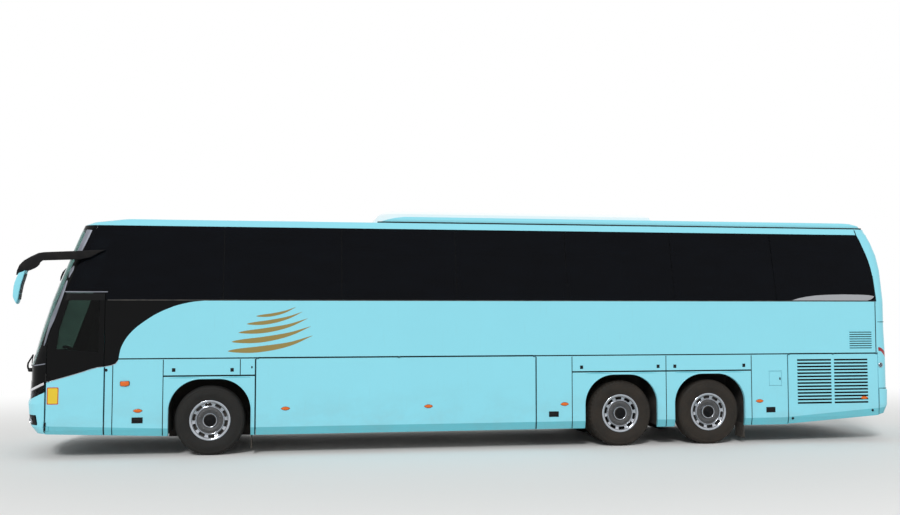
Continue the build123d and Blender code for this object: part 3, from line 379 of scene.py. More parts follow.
def mottle(tree, place, scale, detail=4.0, rough=0.55, stretch=(1, 1, 1)):
    mapping = tree.nodes.new("ShaderNodeMapping")
    mapping.inputs["Scale"].default_value = stretch
    tree.links.new(place, mapping.inputs["Vector"])
    noise = tree.nodes.new("ShaderNodeTexNoise")
    noise.inputs["Scale"].default_value = scale
    noise.inputs["Detail"].default_value = detail
    noise.inputs["Roughness"].default_value = rough
    tree.links.new(mapping.outputs[0], noise.inputs["Vector"])
    return noise.outputs["Fac"]


def bumpFrom(tree, shader, height, strength, distance):
    bump = tree.nodes.new("ShaderNodeBump")
    bump.inputs["Strength"].default_value = strength
    bump.inputs["Distance"].default_value = distance
    tree.links.new(height, bump.inputs["Height"])
    tree.links.new(bump.outputs[0], shader.inputs["Normal"])


def edgeWear(tree, amount):
    shape = tree.nodes.new("ShaderNodeNewGeometry").outputs["Pointiness"]
    return fade(tree, shape, 0.52, 0.60, 0.0, amount)


# road dust that thins with height above the ground, broken up by noise
def roadDust(tree, place, height, look):
    patches = mottle(tree, place, look["patchScale"], 6.0, 0.62, (1, 1, 1.6))
    level = fade(tree, height, look["dustLow"], look["dustHigh"], look["dustMost"], look["dustLeast"])
    return calc(tree, "MULTIPLY", level, fade(tree, patches, 0.30, 0.72))


coachPaint = {
    "aqua": (0.275, 0.694, 0.807),
    "tuckShade": (0.150, 0.520, 0.610),       # the tucked edge under the crease, darker with painted shade as it faces the ground
    # darker aqua, painted shade along the creases over the arches
    "crease": (0.165, 0.540, 0.640),
    "black": (0.0025, 0.0027, 0.0030),
    "white": (0.88, 0.91, 0.92),
    "gold": (0.305, 0.232, 0.080),
    "silver": (0.34, 0.35, 0.37),
    "filmYellow": (0.78, 0.56, 0.045),
    "filmRed": (0.52, 0.085, 0.060),
    "dust": (0.235, 0.205, 0.165),
    "shadeScale": 0.9,
    "shadeDepth": 0.08,
    "shadeDarker": 0.82,
    "roughness": 0.24,
    "dustRoughness": 0.5,
    "clearCoat": 0.08,            # low, so that the black stays black before a white backdrop
    "coatRoughness": 0.06,
    "shine": 0.06,
    "patchScale": 2.2,
    "dustLow": 0.28,
    "dustHigh": 1.15,
    "dustMost": 0.15,
    "dustLeast": 0.010,
    "streaks": 0.05,
    "darkCleaner": -0.9,          # what the black takes off the dust
    "peelScale": 260.0,
    "peelStrength": 0.05,
    "peelDepth": 0.0006,
}
# the line between the black and the aqua on both sides, front to rear: X, Z
sweepLine = (
    (6.60, 1.108), (6.543, 1.122), (6.154, 1.233), (5.833, 1.333), (5.751, 1.342), (5.627, 1.364),
    (5.572, 1.387), (5.540, 1.430), (5.528, 1.470), (5.516, 1.560), (5.478, 1.672), (5.385, 1.819),
    (5.199, 1.991), (4.868, 2.187), (4.557, 2.287), (4.329, 2.318), (3.95, 2.335), (3.60, 2.36),
)
sweepStart = 0.02             # the black starts this far ahead of the line's rear end
curveFoot, curveReach = 1.0, 2.0      # heights that the line's curve spans
# black line at the foot of the side walls, between the lower panels and the long upper ones
waistLine = {"foot": 1.4475, "top": 1.4660, "rear": -6.705, "front": 5.535}
# band of painted shade on the tucked edge: its height over a line that rises from two places to both ends
tuckShadeLine = {
    "full": 0.414, "gone": 0.421, "endFrom": 6.60, "endTo": 6.66,
    "rearFrom": -4.99, "rearRise": 0.0746, "frontFrom": 4.65, "frontRise": 0.0358,
}
# upper and lower edge of the headlamps, X and Z; what lies over them on the bumper is black
lampHigh = ((6.548, 1.118), (6.578, 1.118), (6.820, 1.000), (7.060, 0.985))
lampLow = ((6.548, 0.984), (6.796, 0.868), (7.060, 0.850))


def sweepShare(tree, along, height):
    low, high = sweepLine[-1][0], sweepLine[0][0]
    share = fade(tree, along, low, high)
    share.node.interpolation_type = "LINEAR"
    node = tree.nodes.new("ShaderNodeFloatCurve")
    curve = node.mapping.curves[0]
    points = sorted(((x - low) / (high - low), (z - curveFoot) / curveReach) for x, z in sweepLine)
    curve.points[0].location, curve.points[1].location = points[0], points[-1]
    for point in points[1:-1]:
        curve.points.new(*point)
    for point in curve.points:
        point.handle_type = "AUTO_CLAMPED"
    node.mapping.update()
    feed(tree, node.inputs["Value"], share)
    line = calc(tree, "MULTIPLY_ADD", node.outputs[0], curveReach, curveFoot)
    above = calc(tree, "GREATER_THAN", height, line)
    ahead = calc(tree, "GREATER_THAN", along, low + sweepStart)
    return calc(tree, "MULTIPLY", above, ahead)


def between(tree, value, low, high):
    over = calc(tree, "GREATER_THAN", value, low)
    return calc(tree, "MULTIPLY", over, calc(tree, "LESS_THAN", value, high))


def waistShare(tree, along, height, line):
    level = between(tree, height, line["foot"], line["top"])
    return calc(tree, "MULTIPLY", level, between(tree, along, line["rear"], line["front"]))


def tuckShadeShare(tree, along, height, line):
    rear = calc(tree, "MAXIMUM", calc(tree, "SUBTRACT", line["rearFrom"], along), 0.0)
    ahead = calc(tree, "MAXIMUM", calc(tree, "SUBTRACT", along, line["frontFrom"]), 0.0)
    drop = calc(tree, "SUBTRACT", height, calc(tree, "MULTIPLY", rear, line["rearRise"]))
    drop = calc(tree, "SUBTRACT", drop, calc(tree, "MULTIPLY", ahead, line["frontRise"]))
    # share of the painted shade, full below the line
    film = fade(tree, drop, line["full"], line["gone"], 1.0, 0.0)
    return calc(tree, "MULTIPLY", film, fade(tree, along, line["endFrom"], line["endTo"], 1.0, 0.0))


def straightLine(tree, along, start, end):
    slope = (end[1] - start[1]) / (end[0] - start[0])
    return calc(tree, "MULTIPLY_ADD", along, slope, start[1] - start[0] * slope)


def overLamp(tree, along, height):
    outer = straightLine(tree, along, lampHigh[1], lampHigh[2])
    inner = straightLine(tree, along, lampHigh[2], lampHigh[3])
    return calc(tree, "GREATER_THAN", height, calc(tree, "MAXIMUM", outer, inner))


def paintFinish(name, colour, look, sweep=False, tuckShade=False, dusty=1.0, waist=False, lampEdge=False):
    finish, tree, shader = startFinish(name)
    place, along, across, height = whereabouts(tree)
    shade = fade(tree, mottle(tree, place, look["shadeScale"], 3.0), 0.3, 0.75, 0.0, look["shadeDepth"])
    paint = blendColour(tree, shade, look[colour], dimmed(look[colour], look["shadeDarker"]))
    # painted shade on the tucked edge under the crease
    if tuckShade:
        paint = blendColour(tree, tuckShadeShare(tree, along, height, tuckShadeLine), paint, look["tuckShade"])
    dark = 0.0
    if sweep:
        dark = sweepShare(tree, along, height)
    if waist:
        dark = calc(tree, "MAXIMUM", dark, waistShare(tree, along, height, waistLine))
    if lampEdge:
        dark = overLamp(tree, along, height)
    if sweep or waist or lampEdge:
        paint = blendColour(tree, dark, paint, look["black"])
    dust = roadDust(tree, place, height, look)
    streaks = mottle(tree, place, 5.0, 5.0, 0.6, (6, 6, 0.5))
    dust = calc(tree, "ADD", dust, fade(tree, streaks, 0.58, 0.80, 0.0, look["streaks"]))
    cleaner = calc(tree, "MULTIPLY_ADD", dark, look["darkCleaner"] * dusty, dusty)
    dust = calc(tree, "MULTIPLY", dust, cleaner)
    feed(tree, shader.inputs["Base Color"], blendColour(tree, dust, paint, look["dust"]))
    rough = calc(tree, "MULTIPLY_ADD", dust, look["dustRoughness"], look["roughness"])
    feed(tree, shader.inputs["Roughness"], rough)
    shader.inputs["Coat Weight"].default_value = look["clearCoat"]
    shader.inputs["Coat Roughness"].default_value = look["coatRoughness"]
    shader.inputs["Specular IOR Level"].default_value = look["shine"]
    peel = mottle(tree, place, look["peelScale"], 2.0)      # orange peel
    bumpFrom(tree, shader, peel, look["peelStrength"], look["peelDepth"])
    return finish


# moulded plastic, rubber, iron and metal share one recipe
def solidFinish(name, look):
    finish, tree, shader = startFinish(name)
    place = whereabouts(tree)[0]
    shade = mottle(tree, place, look.get("shadeScale", 6.0), 4.0)
    darker = dimmed(look["colour"], look.get("darker", 0.78))
    colour = blendColour(tree, fade(tree, shade, 0.3, 0.7), look["colour"], darker)
    if look.get("wear"):
        colour = blendColour(tree, edgeWear(tree, look["wear"]), colour, look["wornColour"])
    rough = calc(tree, "MULTIPLY_ADD", shade, look.get("roughSpread", 0.12), look["roughness"])
    if look.get("dust"):
        patches = mottle(tree, place, look.get("dustScale", 9.0), 6.0, 0.65)
        dust = fade(tree, patches, 0.32, 0.75, look.get("dustLeast", 0.0), look["dust"])
        colour = blendColour(tree, dust, colour, look.get("dustColour", coachPaint["dust"]))
        rough = calc(tree, "MULTIPLY_ADD", dust, 0.4, rough)
    feed(tree, shader.inputs["Base Color"], colour)
    feed(tree, shader.inputs["Roughness"], rough)
    shader.inputs["Metallic"].default_value = look.get("metal", 0.0)
    shader.inputs["Specular IOR Level"].default_value = look.get("specular", 0.5)
    if look.get("coat"):
        shader.inputs["Coat Weight"].default_value = look["coat"]
    if look.get("grain"):
        strength, scale = look["grain"]
        bumpFrom(tree, shader, mottle(tree, place, scale, 3.0), strength, 0.001)
    return finish


def glassFinish(name, look):
    finish, tree, shader = startFinish(name)
    smear = mottle(tree, whereabouts(tree)[0], 1.6, 5.0, 0.6, (1, 1, 3))
    tint = blendColour(tree, fade(tree, smear, 0.3, 0.8, 0.0, 0.35), look["colour"], look["haze"])
    feed(tree, shader.inputs["Base Color"], tint)
    rough = fade(tree, smear, 0.4, 0.9, look["roughness"], look["roughness"] + 0.05)
    feed(tree, shader.inputs["Roughness"], rough)
    shader.inputs["Transmission Weight"].default_value = look["clear"]
    shader.inputs["IOR"].default_value = look["ior"]
    shader.inputs["Specular IOR Level"].default_value = look.get("specular", 0.5)
    return finish


aquaSide = paintFinish("aquaSidePaint", "aqua", coachPaint, sweep=True, tuckShade=True, waist=True)
aquaBody = paintFinish("aquaBodyPaint", "aqua", coachPaint, tuckShade=True, waist=True)
aquaFront = paintFinish("aquaBumperPaint", "aqua", coachPaint, lampEdge=True)
blackGloss = paintFinish("blackGlossPaint", "black", coachPaint, dusty=0.08)
unitWhite = paintFinish("roofUnitWhite", "white", coachPaint, dusty=0.5)
aquaShade = paintFinish("aquaCreaseShadePaint", "crease", coachPaint)
goldStripe = paintFinish("goldStripeFilm", "gold", coachPaint, dusty=0.4)
silverFilm = paintFinish("silverFlashFilm", "silver", coachPaint, dusty=0.4)
blankSticker = paintFinish("blankStickerFilm", "filmYellow", coachPaint, dusty=0.6)
filmRed = paintFinish("stickerEdgeRed", "filmRed", coachPaint, dusty=0.6)

sideGlass = glassFinish("tintedSideGlass", {
    "colour": (0.006, 0.007, 0.010), "haze": (0.009, 0.012, 0.019),
    "roughness": 0.02, "clear": 0.55, "specular": 0.25, "ior": 1.15,
})
screenGlass = glassFinish("greenScreenGlass", {
    "colour": (0.30, 0.46, 0.44), "haze": (0.24, 0.38, 0.37),
    "roughness": 0.01, "clear": 1.0, "ior": 1.25,
})
doorGlass = glassFinish("greenDoorGlass", {
    "colour": (0.060, 0.090, 0.072), "haze": (0.040, 0.062, 0.052),
    "roughness": 0.01, "clear": 1.0, "ior": 1.20,
})
lampGlass = glassFinish("clearLampLens", {
    "colour": (0.90, 0.92, 0.93), "haze": (0.82, 0.84, 0.85),
    "roughness": 0.02, "clear": 1.0, "ior": 1.47,
})
smokedLens = glassFinish("smokedLampLens", {
    "colour": (0.25, 0.26, 0.28), "haze": (0.20, 0.21, 0.23),
    "roughness": 0.01, "clear": 1.0, "ior": 1.20,
})
redGlass = glassFinish("redTailLens", {
    "colour": (0.42, 0.012, 0.014), "haze": (0.34, 0.010, 0.012),
    "roughness": 0.10, "clear": 0.25, "ior": 1.47,
})
amberGlass = glassFinish("amberMarkerLens", {
    "colour": (0.85, 0.16, 0.008), "haze": (0.74, 0.13, 0.006),
    "roughness": 0.14, "clear": 0.15, "ior": 1.47,
})

frameBlack = solidFinish("windowFrameBlack", {
    "colour": (0.004, 0.0045, 0.005), "roughness": 0.16, "shadeScale": 3.0, "coat": 0.05, "specular": 0.06,
    "dust": 0.02,
})
trimBlack = solidFinish("trimBlackPlastic", {
    "colour": (0.008, 0.008, 0.009), "roughness": 0.38, "grain": (0.25, 900),
    "specular": 0.12, "dust": 0.03, "wear": 0.12, "wornColour": (0.04, 0.04, 0.04),
})
capBlack = solidFinish("hubCapBlack", {
    "colour": (0.004, 0.0045, 0.006), "roughness": 0.20, "specular": 0.10, "dust": 0.03, "grain": (0.1, 300),
})
sealRubber = solidFinish("sealRubber", {
    "colour": (0.012, 0.012, 0.013), "roughness": 0.55, "grain": (0.2, 500), "dust": 0.25,
})
# near black for the panel joints, and as painted shade in the slots of the louvres and vents
jointShadow = solidFinish("jointDarkAndSlotShade", {
    "colour": (0.004, 0.006, 0.007), "roughness": 0.7, "dust": 0.03, "specular": 0.05,
})
silverTrim = solidFinish("brushedSilverTrim", {
    "colour": (0.52, 0.54, 0.58), "roughness": 0.22, "metal": 0.85, "grain": (0.15, 300),
    "dust": 0.10,
})
# grey-blue that stands as a painted highlight on the windscreen pillars; also the grey of the drip rails and
# of the strip under the windscreen
greyTrimAndPillarHighlight = solidFinish("greyTrimPillarHighlight", {
    "colour": (0.235, 0.250, 0.295), "roughness": 0.32, "metal": 0.35, "specular": 0.2,
    "grain": (0.12, 300), "shadeScale": 4.0, "darker": 0.7, "dust": 0.05,
})
brightStrip = solidFinish("lampStripBright", {
    "colour": (0.74, 0.75, 0.78), "roughness": 0.25, "metal": 0.6, "grain": (0.1, 300), "dust": 0.08,
})
chrome = solidFinish("polishedSteel", {
    "colour": (0.50, 0.53, 0.58), "roughness": 0.07, "roughSpread": 0.10, "metal": 1.0, "shadeScale": 9.0,
    "darker": 0.86, "dust": 0.16, "dustColour": (0.20, 0.17, 0.14), "dustScale": 7.0,
})
wheelDisc = solidFinish("wheelDiscSatin", {
    "colour": (0.105, 0.107, 0.112), "roughness": 0.30, "metal": 0.9, "grain": (0.25, 420),
    "dust": 0.25, "dustColour": (0.10, 0.085, 0.07),
})
wheelSteel = solidFinish("wheelSteelDark", {
    "colour": (0.060, 0.058, 0.056), "roughness": 0.5, "metal": 0.4, "grain": (0.3, 160),
    "dust": 0.5, "dustLeast": 0.1, "dustColour": (0.11, 0.09, 0.07),
})
chassisIron = solidFinish("chassisIron", {
    "colour": (0.030, 0.030, 0.030), "roughness": 0.6, "grain": (0.5, 90),
    "dust": 0.55, "dustLeast": 0.12, "dustColour": (0.13, 0.105, 0.08), "dustScale": 5.0,
})
archLining = solidFinish("archLiningDusty", {
    "colour": (0.012, 0.012, 0.012), "roughness": 0.8, "grain": (0.6, 60),
    "dust": 0.35, "dustColour": (0.12, 0.095, 0.075), "dustScale": 4.0,
})
flapRubber = solidFinish("mudflapRubber", {
    "colour": (0.020, 0.020, 0.020), "roughness": 0.7, "grain": (0.4, 150),
    "dust": 0.55, "dustLeast": 0.15, "dustColour": (0.15, 0.125, 0.10),
})
cabinGrey = solidFinish("cabinGreyPlastic", {
    "colour": (0.085, 0.088, 0.095), "roughness": 0.48, "grain": (0.35, 1200), "dust": 0.10,
})
floorLining = solidFinish("floorLiningSpeckled", {
    "colour": (0.060, 0.064, 0.075), "roughness": 0.6, "shadeScale": 240.0, "darker": 0.55,
    "grain": (0.3, 700), "dust": 0.2,
})
holdLining = solidFinish("holdLiningGrey", {
    "colour": (0.20, 0.20, 0.195), "roughness": 0.55, "shadeScale": 3.0, "grain": (0.3, 180),
    "dust": 0.3, "wear": 0.3, "wornColour": (0.34, 0.34, 0.33),
})



# sidewalls browned by the road, the tread greyer; look values are for one wheel's rubber
def rubberFinish(name, look):
    finish, tree, shader = startFinish(name)
    place = whereabouts(tree)[0]
    film = mottle(tree, place, 5.0, 6.0, 0.62)
    fine = mottle(tree, place, 60.0, 5.0, 0.7)
    browned = fade(tree, film, 0.25, 0.78, look["least"], look["most"])
    colour = blendColour(tree, browned, look["rubber"], look["dust"])
    scuffed = fade(tree, fine, 0.45, 0.75, 0.0, 0.35)
    colour = blendColour(tree, scuffed, colour, dimmed(look["rubber"], 0.55))
    feed(tree, shader.inputs["Base Color"], colour)
    feed(tree, shader.inputs["Roughness"], fade(tree, film, 0.2, 0.8, 0.58, 0.86))
    shader.inputs["Specular IOR Level"].default_value = 0.2
    bumpFrom(tree, shader, fine, 0.35, 0.0015)
    return finish


steerRubber = rubberFinish("steerTyreRubber", {
    "rubber": (0.010, 0.010, 0.010), "dust": (0.036, 0.033, 0.029), "least": 0.10, "most": 0.50,
})
driveRubber = rubberFinish("driveTyreRubber", {
    "rubber": (0.011, 0.010, 0.009), "dust": (0.052, 0.041, 0.032), "least": 0.20, "most": 0.62,
})


def clothFinish(name, look):
    finish, tree, shader = startFinish(name)
    place = whereabouts(tree)[0]
    weave = tree.nodes.new("ShaderNodeTexWave")
    weave.inputs["Scale"].default_value = look["threads"]
    weave.inputs["Distortion"].default_value = 0.6
    tree.links.new(place, weave.inputs["Vector"])
    cross = mottle(tree, place, look["threads"] * 2.0, 2.0, 0.5, (0.3, 1, 1))
    fleck = mottle(tree, place, 34.0, 3.0)
    colour = blendColour(tree, fade(tree, fleck, 0.42, 0.62), look["colour"], look["fleck"])
    colour = blendColour(tree, fade(tree, cross, 0.3, 0.7, 0.0, 0.3), colour, dimmed(look["colour"], 0.6))
    feed(tree, shader.inputs["Base Color"], colour)
    shader.inputs["Roughness"].default_value = 0.9
    shader.inputs["Sheen Weight"].default_value = 0.25
    bumpFrom(tree, shader, weave.outputs["Fac"], 0.4, 0.001)
    return finish


seatCloth = clothFinish("seatCloth", {
    "colour": (0.030, 0.045, 0.095), "fleck": (0.070, 0.10, 0.17), "threads": 140.0,
})
seatTrim = clothFinish("seatHeadCloth", {
    "colour": (0.16, 0.16, 0.165), "fleck": (0.22, 0.22, 0.22), "threads": 120.0,
})


def dress(finish, *names):
    for name in names:
        for holder in nodes[name].material_slots:
            holder.material = finish


dress(aquaSide, "side_walls", "skirts", "driver_door", "entry_door")
dress(aquaSide, "left_luggage_door", "right_luggage_door")
dress(aquaBody, "left_louvre_door", "right_louvre_door", "engine_lid", "fuel_flap")
dress(aquaBody, "rear_wall", "rear_bumper", "roof_skin")
dress(aquaFront, "front_bumper")
dress(blackGloss, "front_mask")
dress(frameBlack, "window_frames", "front_frame")
dress(sideGlass, "window_glass")
dress(screenGlass, "windscreen")
dress(doorGlass, "driver_door_glass")
dress(unitWhite, "air_unit")
dress(chassisIron, "underframe", "tow_lugs", "front_axle", "drive_axle", "tag_axle", "engine_block")
dress(chassisIron, "left_knuckle", "right_knuckle")
dress(archLining, "wheel_housings")
dress(flapRubber, "mudflaps")
dress(floorLining, "saloon_floor", "cab_floor")
dress(holdLining, "luggage_hold")
dress(cabinGrey, "dashboard", "steering_wheel")
dress(trimBlack, "mirror_arms", "wipers")
dress(redGlass, "tail_lamps")
dress(wheelSteel, *[name for name in nodes if name.endswith(("_rim", "_rims"))])
dress(steerRubber, *[name for name in nodes if name.endswith(("_tyre", "_tyres"))])
print("finishes on the frame")

# studio: pale floor, plain soft light, the camera of the photograph
studio = {
    "floorSize": 400.0,
    "floorColour": (0.80, 0.80, 0.79),
    "floorShade": (0.74, 0.74, 0.73),
    "backdrop": (1.0, 1.0, 1.0),
    "skyLight": 0.62,
    "fadeFrom": 4.2,              # the floor turns into the white backdrop between these distances
    "fadeTo": 12.0,
    "alongShare": 0.55,           # the clear patch of floor is longer along the coach
    "sunLight": 1.55,
    "sunTurn": (52, 0, 158),
    "sunSoftness": 14,
    "cameraPlace": (2.98, 16.275, 2.179),
    "cameraYaw": 9.14,
    "cameraPitch": 3.10,
    "lens": 38.8,
    "sensor": 36,
    "seeTo": 400,
}


# one where the camera looks straight, in a mirror or through glass; the light itself is left alone
def seenShare(tree):
    path = tree.nodes.new("ShaderNodeLightPath")
    seen = calc(tree, "MAXIMUM", path.outputs["Is Camera Ray"], path.outputs["Is Glossy Ray"])
    return calc(tree, "MAXIMUM", seen, path.outputs["Is Transmission Ray"])


def mixInto(tree, share, first, second, output):
    mix = tree.nodes.new("ShaderNodeMixShader")
    tree.links.new(share, mix.inputs[0])
    tree.links.new(first.outputs[0], mix.inputs[1])
    tree.links.new(second.outputs[0], mix.inputs[2])
    tree.links.new(mix.outputs[0], output.inputs[0])


def floorFinish(look):
    finish, tree, shader = startFinish("paleFloor")
    place, along, across, height = whereabouts(tree)
    shade = fade(tree, mottle(tree, place, 0.35, 3.0), 0.3, 0.7, 0.0, 0.06)
    feed(tree, shader.inputs["Base Color"], blendColour(tree, shade, look["floorColour"], look["floorShade"]))
    shader.inputs["Roughness"].default_value = 0.9
    shader.inputs["Specular IOR Level"].default_value = 0.1
    alongShare = calc(tree, "MULTIPLY", along, look["alongShare"])
    acrossSquare = calc(tree, "MULTIPLY", across, across)
    reach = calc(tree, "SQRT", calc(tree, "MULTIPLY_ADD", alongShare, alongShare, acrossSquare))
    away = fade(tree, reach, look["fadeFrom"], look["fadeTo"])
    glow = tree.nodes.new("ShaderNodeEmission")
    glow.inputs[0].default_value = (*look["backdrop"], 1)
    share = calc(tree, "MULTIPLY", seenShare(tree), away)
    mixInto(tree, share, shader, glow, tree.nodes["Material Output"])
    return finish


def makeFloor(look):
    shape = bmesh.new()
    bmesh.ops.create_circle(shape, cap_ends=True, radius=look["floorSize"] / 2, segments=96)
    mesh = bpy.data.meshes.new("floor")
    shape.to_mesh(mesh)
    shape.free()
    floor = bpy.data.objects.new("floor", mesh)
    bpy.context.scene.collection.objects.link(floor)
    mesh.materials.append(floorFinish(look))


def makeWorld(look):
    world = bpy.data.worlds.new("studioWorld")
    bpy.context.scene.world = world
    world.use_nodes = True
    tree = world.node_tree
    tree.nodes.clear()
    light, backdrop = tree.nodes.new("ShaderNodeBackground"), tree.nodes.new("ShaderNodeBackground")
    light.inputs[0].default_value = (1, 1, 1, 1)
    light.inputs[1].default_value = look["skyLight"]
    backdrop.inputs[0].default_value = (*look["backdrop"], 1)
    backdrop.inputs[1].default_value = 1.0
    mixInto(tree, seenShare(tree), light, backdrop, tree.nodes.new("ShaderNodeOutputWorld"))


def makeSun(look):
    sunData = bpy.data.lights.new("softSun", "SUN")
    sunData.energy = look["sunLight"]
    sunData.angle = math.radians(look["sunSoftness"])
    sun = bpy.data.objects.new("softSun", sunData)
    sun.rotation_euler = [math.radians(a) for a in look["sunTurn"]]
    bpy.context.scene.collection.objects.link(sun)


def makeCamera(look):
    yaw, pitch = math.radians(look["cameraYaw"]), math.radians(look["cameraPitch"])
    level = math.cos(pitch)
    forward = Vector((-math.sin(yaw) * level, -math.cos(yaw) * level, math.sin(pitch)))
    right = Vector((-math.cos(yaw), math.sin(yaw), 0))
    up = right.cross(forward)
    cameraData = bpy.data.cameras.new("photoCamera")
    cameraData.lens = look["lens"]
    cameraData.sensor_width = look["sensor"]
    cameraData.clip_end = look["seeTo"]
    camera = bpy.data.objects.new("photoCamera", cameraData)
    turn = Matrix((right, up, -forward)).transposed().to_4x4()
    camera.matrix_world = Matrix.Translation(look["cameraPlace"]) @ turn
    bpy.context.scene.collection.objects.link(camera)
    bpy.context.scene.camera = camera
    bpy.context.scene.view_settings.view_transform = "Standard"


makeFloor(studio)
makeWorld(studio)
makeSun(studio)
makeCamera(studio)
print("studio set")

# wheels: radii about the wheel's own line, distances out from the coach's middle
axleX = {"front": 4.21, "drive": -2.22, "tag": -3.72}
wheel = {
    "centreZ": 0.522,
    "middle": 1.070,          # distance of the wheel's middle from the coach's middle
    "twinPitch": 0.330,
    "steerSteps": 150,
    "driveSteps": 240,
}
# sidewall and shoulder: radius, distance from the tyre's middle
tyreSide = (
    (0.2875, 0.112), (0.296, 0.117), (0.304, 0.1195), (0.309, 0.126), (0.316, 0.1285), (0.330, 0.1315),
    (0.336, 0.1345), (0.341, 0.1345), (0.347, 0.1365), (0.372, 0.1425), (0.398, 0.1455), (0.418, 0.1458),
    (0.424, 0.1445), (0.430, 0.1455), (0.437, 0.1440), (0.458, 0.1415), (0.470, 0.1385), (0.4745, 0.1405),
    (0.481, 0.1395), (0.490, 0.1345), (0.500, 0.1275), (0.5105, 0.1185), (0.5165, 0.1080), (0.5195, 0.098),
)
tread = {
    "radius": 0.5212,
    "grooves": (0.070, 0.0235),           # distances from the tread's middle
    "grooveMouth": 0.0075, "grooveFloor": 0.005, "grooveDepth": 0.009,
    "lugEvery": 5,                        # steps between two shoulder notches of a drive tyre
    "lugSteps": 2, "lugFrom": 0.082, "lugRadius": 0.497, "lugDepth": 0.010,
    "lugFade": 0.485, "lugFadeOver": 0.02,
    "cutEvery": 3, "cutFrom": 0.085, "cutTo": 0.112, "cutRadius": 0.512, "cutDepth": 0.0016,
}


def treadProfile(look):
    top, floor = look["radius"], look["radius"] - look["grooveDepth"]
    points = []
    for centre in look["grooves"]:
        points += [
            (top, centre + look["grooveMouth"]), (floor, centre + look["grooveFloor"]),
            (floor, centre - look["grooveFloor"]), (top, centre - look["grooveMouth"]),
        ]
    return points


# drive tyres have notches across the shoulder, the others fine cuts along it
def shoulderCut(step, radius, offset, drive, look):
    if drive:
        notched = step % look["lugEvery"] < look["lugSteps"] and offset > look["lugFrom"]
        if notched and radius > look["lugRadius"]:
            return look["lugDepth"] * min(1, (radius - look["lugFade"]) / look["lugFadeOver"])
    elif step % look["cutEvery"] == 0 and radius > look["cutRadius"]:
        if look["cutFrom"] < offset < look["cutTo"]:
            return look["cutDepth"]
    return 0


def buildTyre(shape, centreX, middle, side, drive):
    half = list(tyreSide) + treadProfile(tread)
    profile = [(r, middle + d) for r, d in half] + [(r, middle - d) for r, d in reversed(half)]
    steps = wheel["driveSteps"] if drive else wheel["steerSteps"]
    rings = turnRound(shape, profile, centreX, wheel["centreZ"], side, steps, closed=True)
    for i, ring in enumerate(rings):
        for vert, (radius, out) in zip(ring, profile):
            keep = (radius - shoulderCut(i, radius, abs(out - middle), drive, tread)) / radius
            axle = Vector((centreX, vert.co.y, wheel["centreZ"]))
            vert.co = axle + (vert.co - axle) * keep


# the polished cover: outer ring with slots, bright inner ring, satin disc, hub ring and cap
trimRing = (
    (0.3025, 1.184), (0.3055, 1.192), (0.3035, 1.199), (0.2980, 1.2025), (0.2900, 1.2030),
    (0.2800, 1.2005), (0.2700, 1.1950), (0.2620, 1.1880), (0.2560, 1.1820), (0.2190, 1.1730),
    (0.2160, 1.1735), (0.2135, 1.1770), (0.2110, 1.1840), (0.2075, 1.1890), (0.2030, 1.1900),
    (0.1985, 1.1875), (0.1955, 1.1810), (0.1940, 1.1740),
)
trimDisc = (
    (0.1940, 1.1740), (0.1915, 1.1725), (0.1840, 1.1735), (0.1720, 1.1760), (0.1560, 1.1770),
    (0.1400, 1.1750), (0.1260, 1.1710), (0.1170, 1.1690), (0.1125, 1.1690),
)
hubRing = (
    (0.1125, 1.1690), (0.1115, 1.1800), (0.1085, 1.1890), (0.1040, 1.1935), (0.0985, 1.1930),
    (0.0940, 1.1885), (0.0910, 1.1830),
)
hubCap = (
    (0.0910, 1.1830), (0.0890, 1.1900), (0.0860, 1.1955), (0.0780, 1.1975), (0.0600, 1.1988),
    (0.0400, 1.1994), (0.0220, 1.1996), (0.0205, 1.2004), (0.0120, 1.2008), (0.0002, 1.2008),
)
cover = {
    "steps": 180,
    "slots": 10,
    "slotSteps": 12,
    "slotBand": (8, 9),           # the profile's steps that the slots cut
    "slotReach": (0.215, 0.27),   # radii between which the slots lie
    "slotLip": 0.014,
    "slotRounding": 0.34,
}


def buildCover(shape, centreX, side, look):
    rings = turnRound(shape, trimRing, centreX, wheel["centreZ"], side, look["steps"])
    every = look["steps"] // look["slots"]
    inner, outer = look["slotBand"]
    cut = []
    for i, here in enumerate(rings):
        if i % every < look["slotSteps"]:
            there = rings[(i + 1) % look["steps"]]
            cut += [f for f in here[inner].link_faces if here[outer] in f.verts and there[inner] in f.verts]
    bmesh.ops.delete(shape, geom=cut, context="FACES_ONLY")
    for i, ring in enumerate(rings):
        if i % every in (0, look["slotSteps"]):
            low, high = ring[inner], ring[outer]
            middle = (low.co + high.co) / 2
            low.co = low.co.lerp(middle, look["slotRounding"])
            high.co = high.co.lerp(middle, look["slotRounding"])
    slotEdges = []
    for edge in shape.edges:
        place = edge.verts[0].co
        reach = (place - Vector((centreX, place.y, wheel["centreZ"]))).length
        if edge.is_boundary and look["slotReach"][0] < reach < look["slotReach"][1]:
            slotEdges.append(edge)
    for item in bmesh.ops.extrude_edge_only(shape, edges=slotEdges)["geom"]:
        if isinstance(item, bmesh.types.BMVert):
            item.co.y -= side * look["slotLip"]


nutLook = {"ring": 0.1560, "count": 10, "seat": 1.1755, "size": 0.0135, "height": 0.011}
valveLook = {
    "angle": 0.6, "half": 0.0042,
    "path": ((0.262, 1.150), (0.252, 1.168), (0.244, 1.181), (0.238, 1.190)),
}


def wheelPoint(centreX, side, radius, angle, out):
    along, up = radius * math.cos(angle), radius * math.sin(angle)
    return Vector((centreX + along, side * out, wheel["centreZ"] + up))


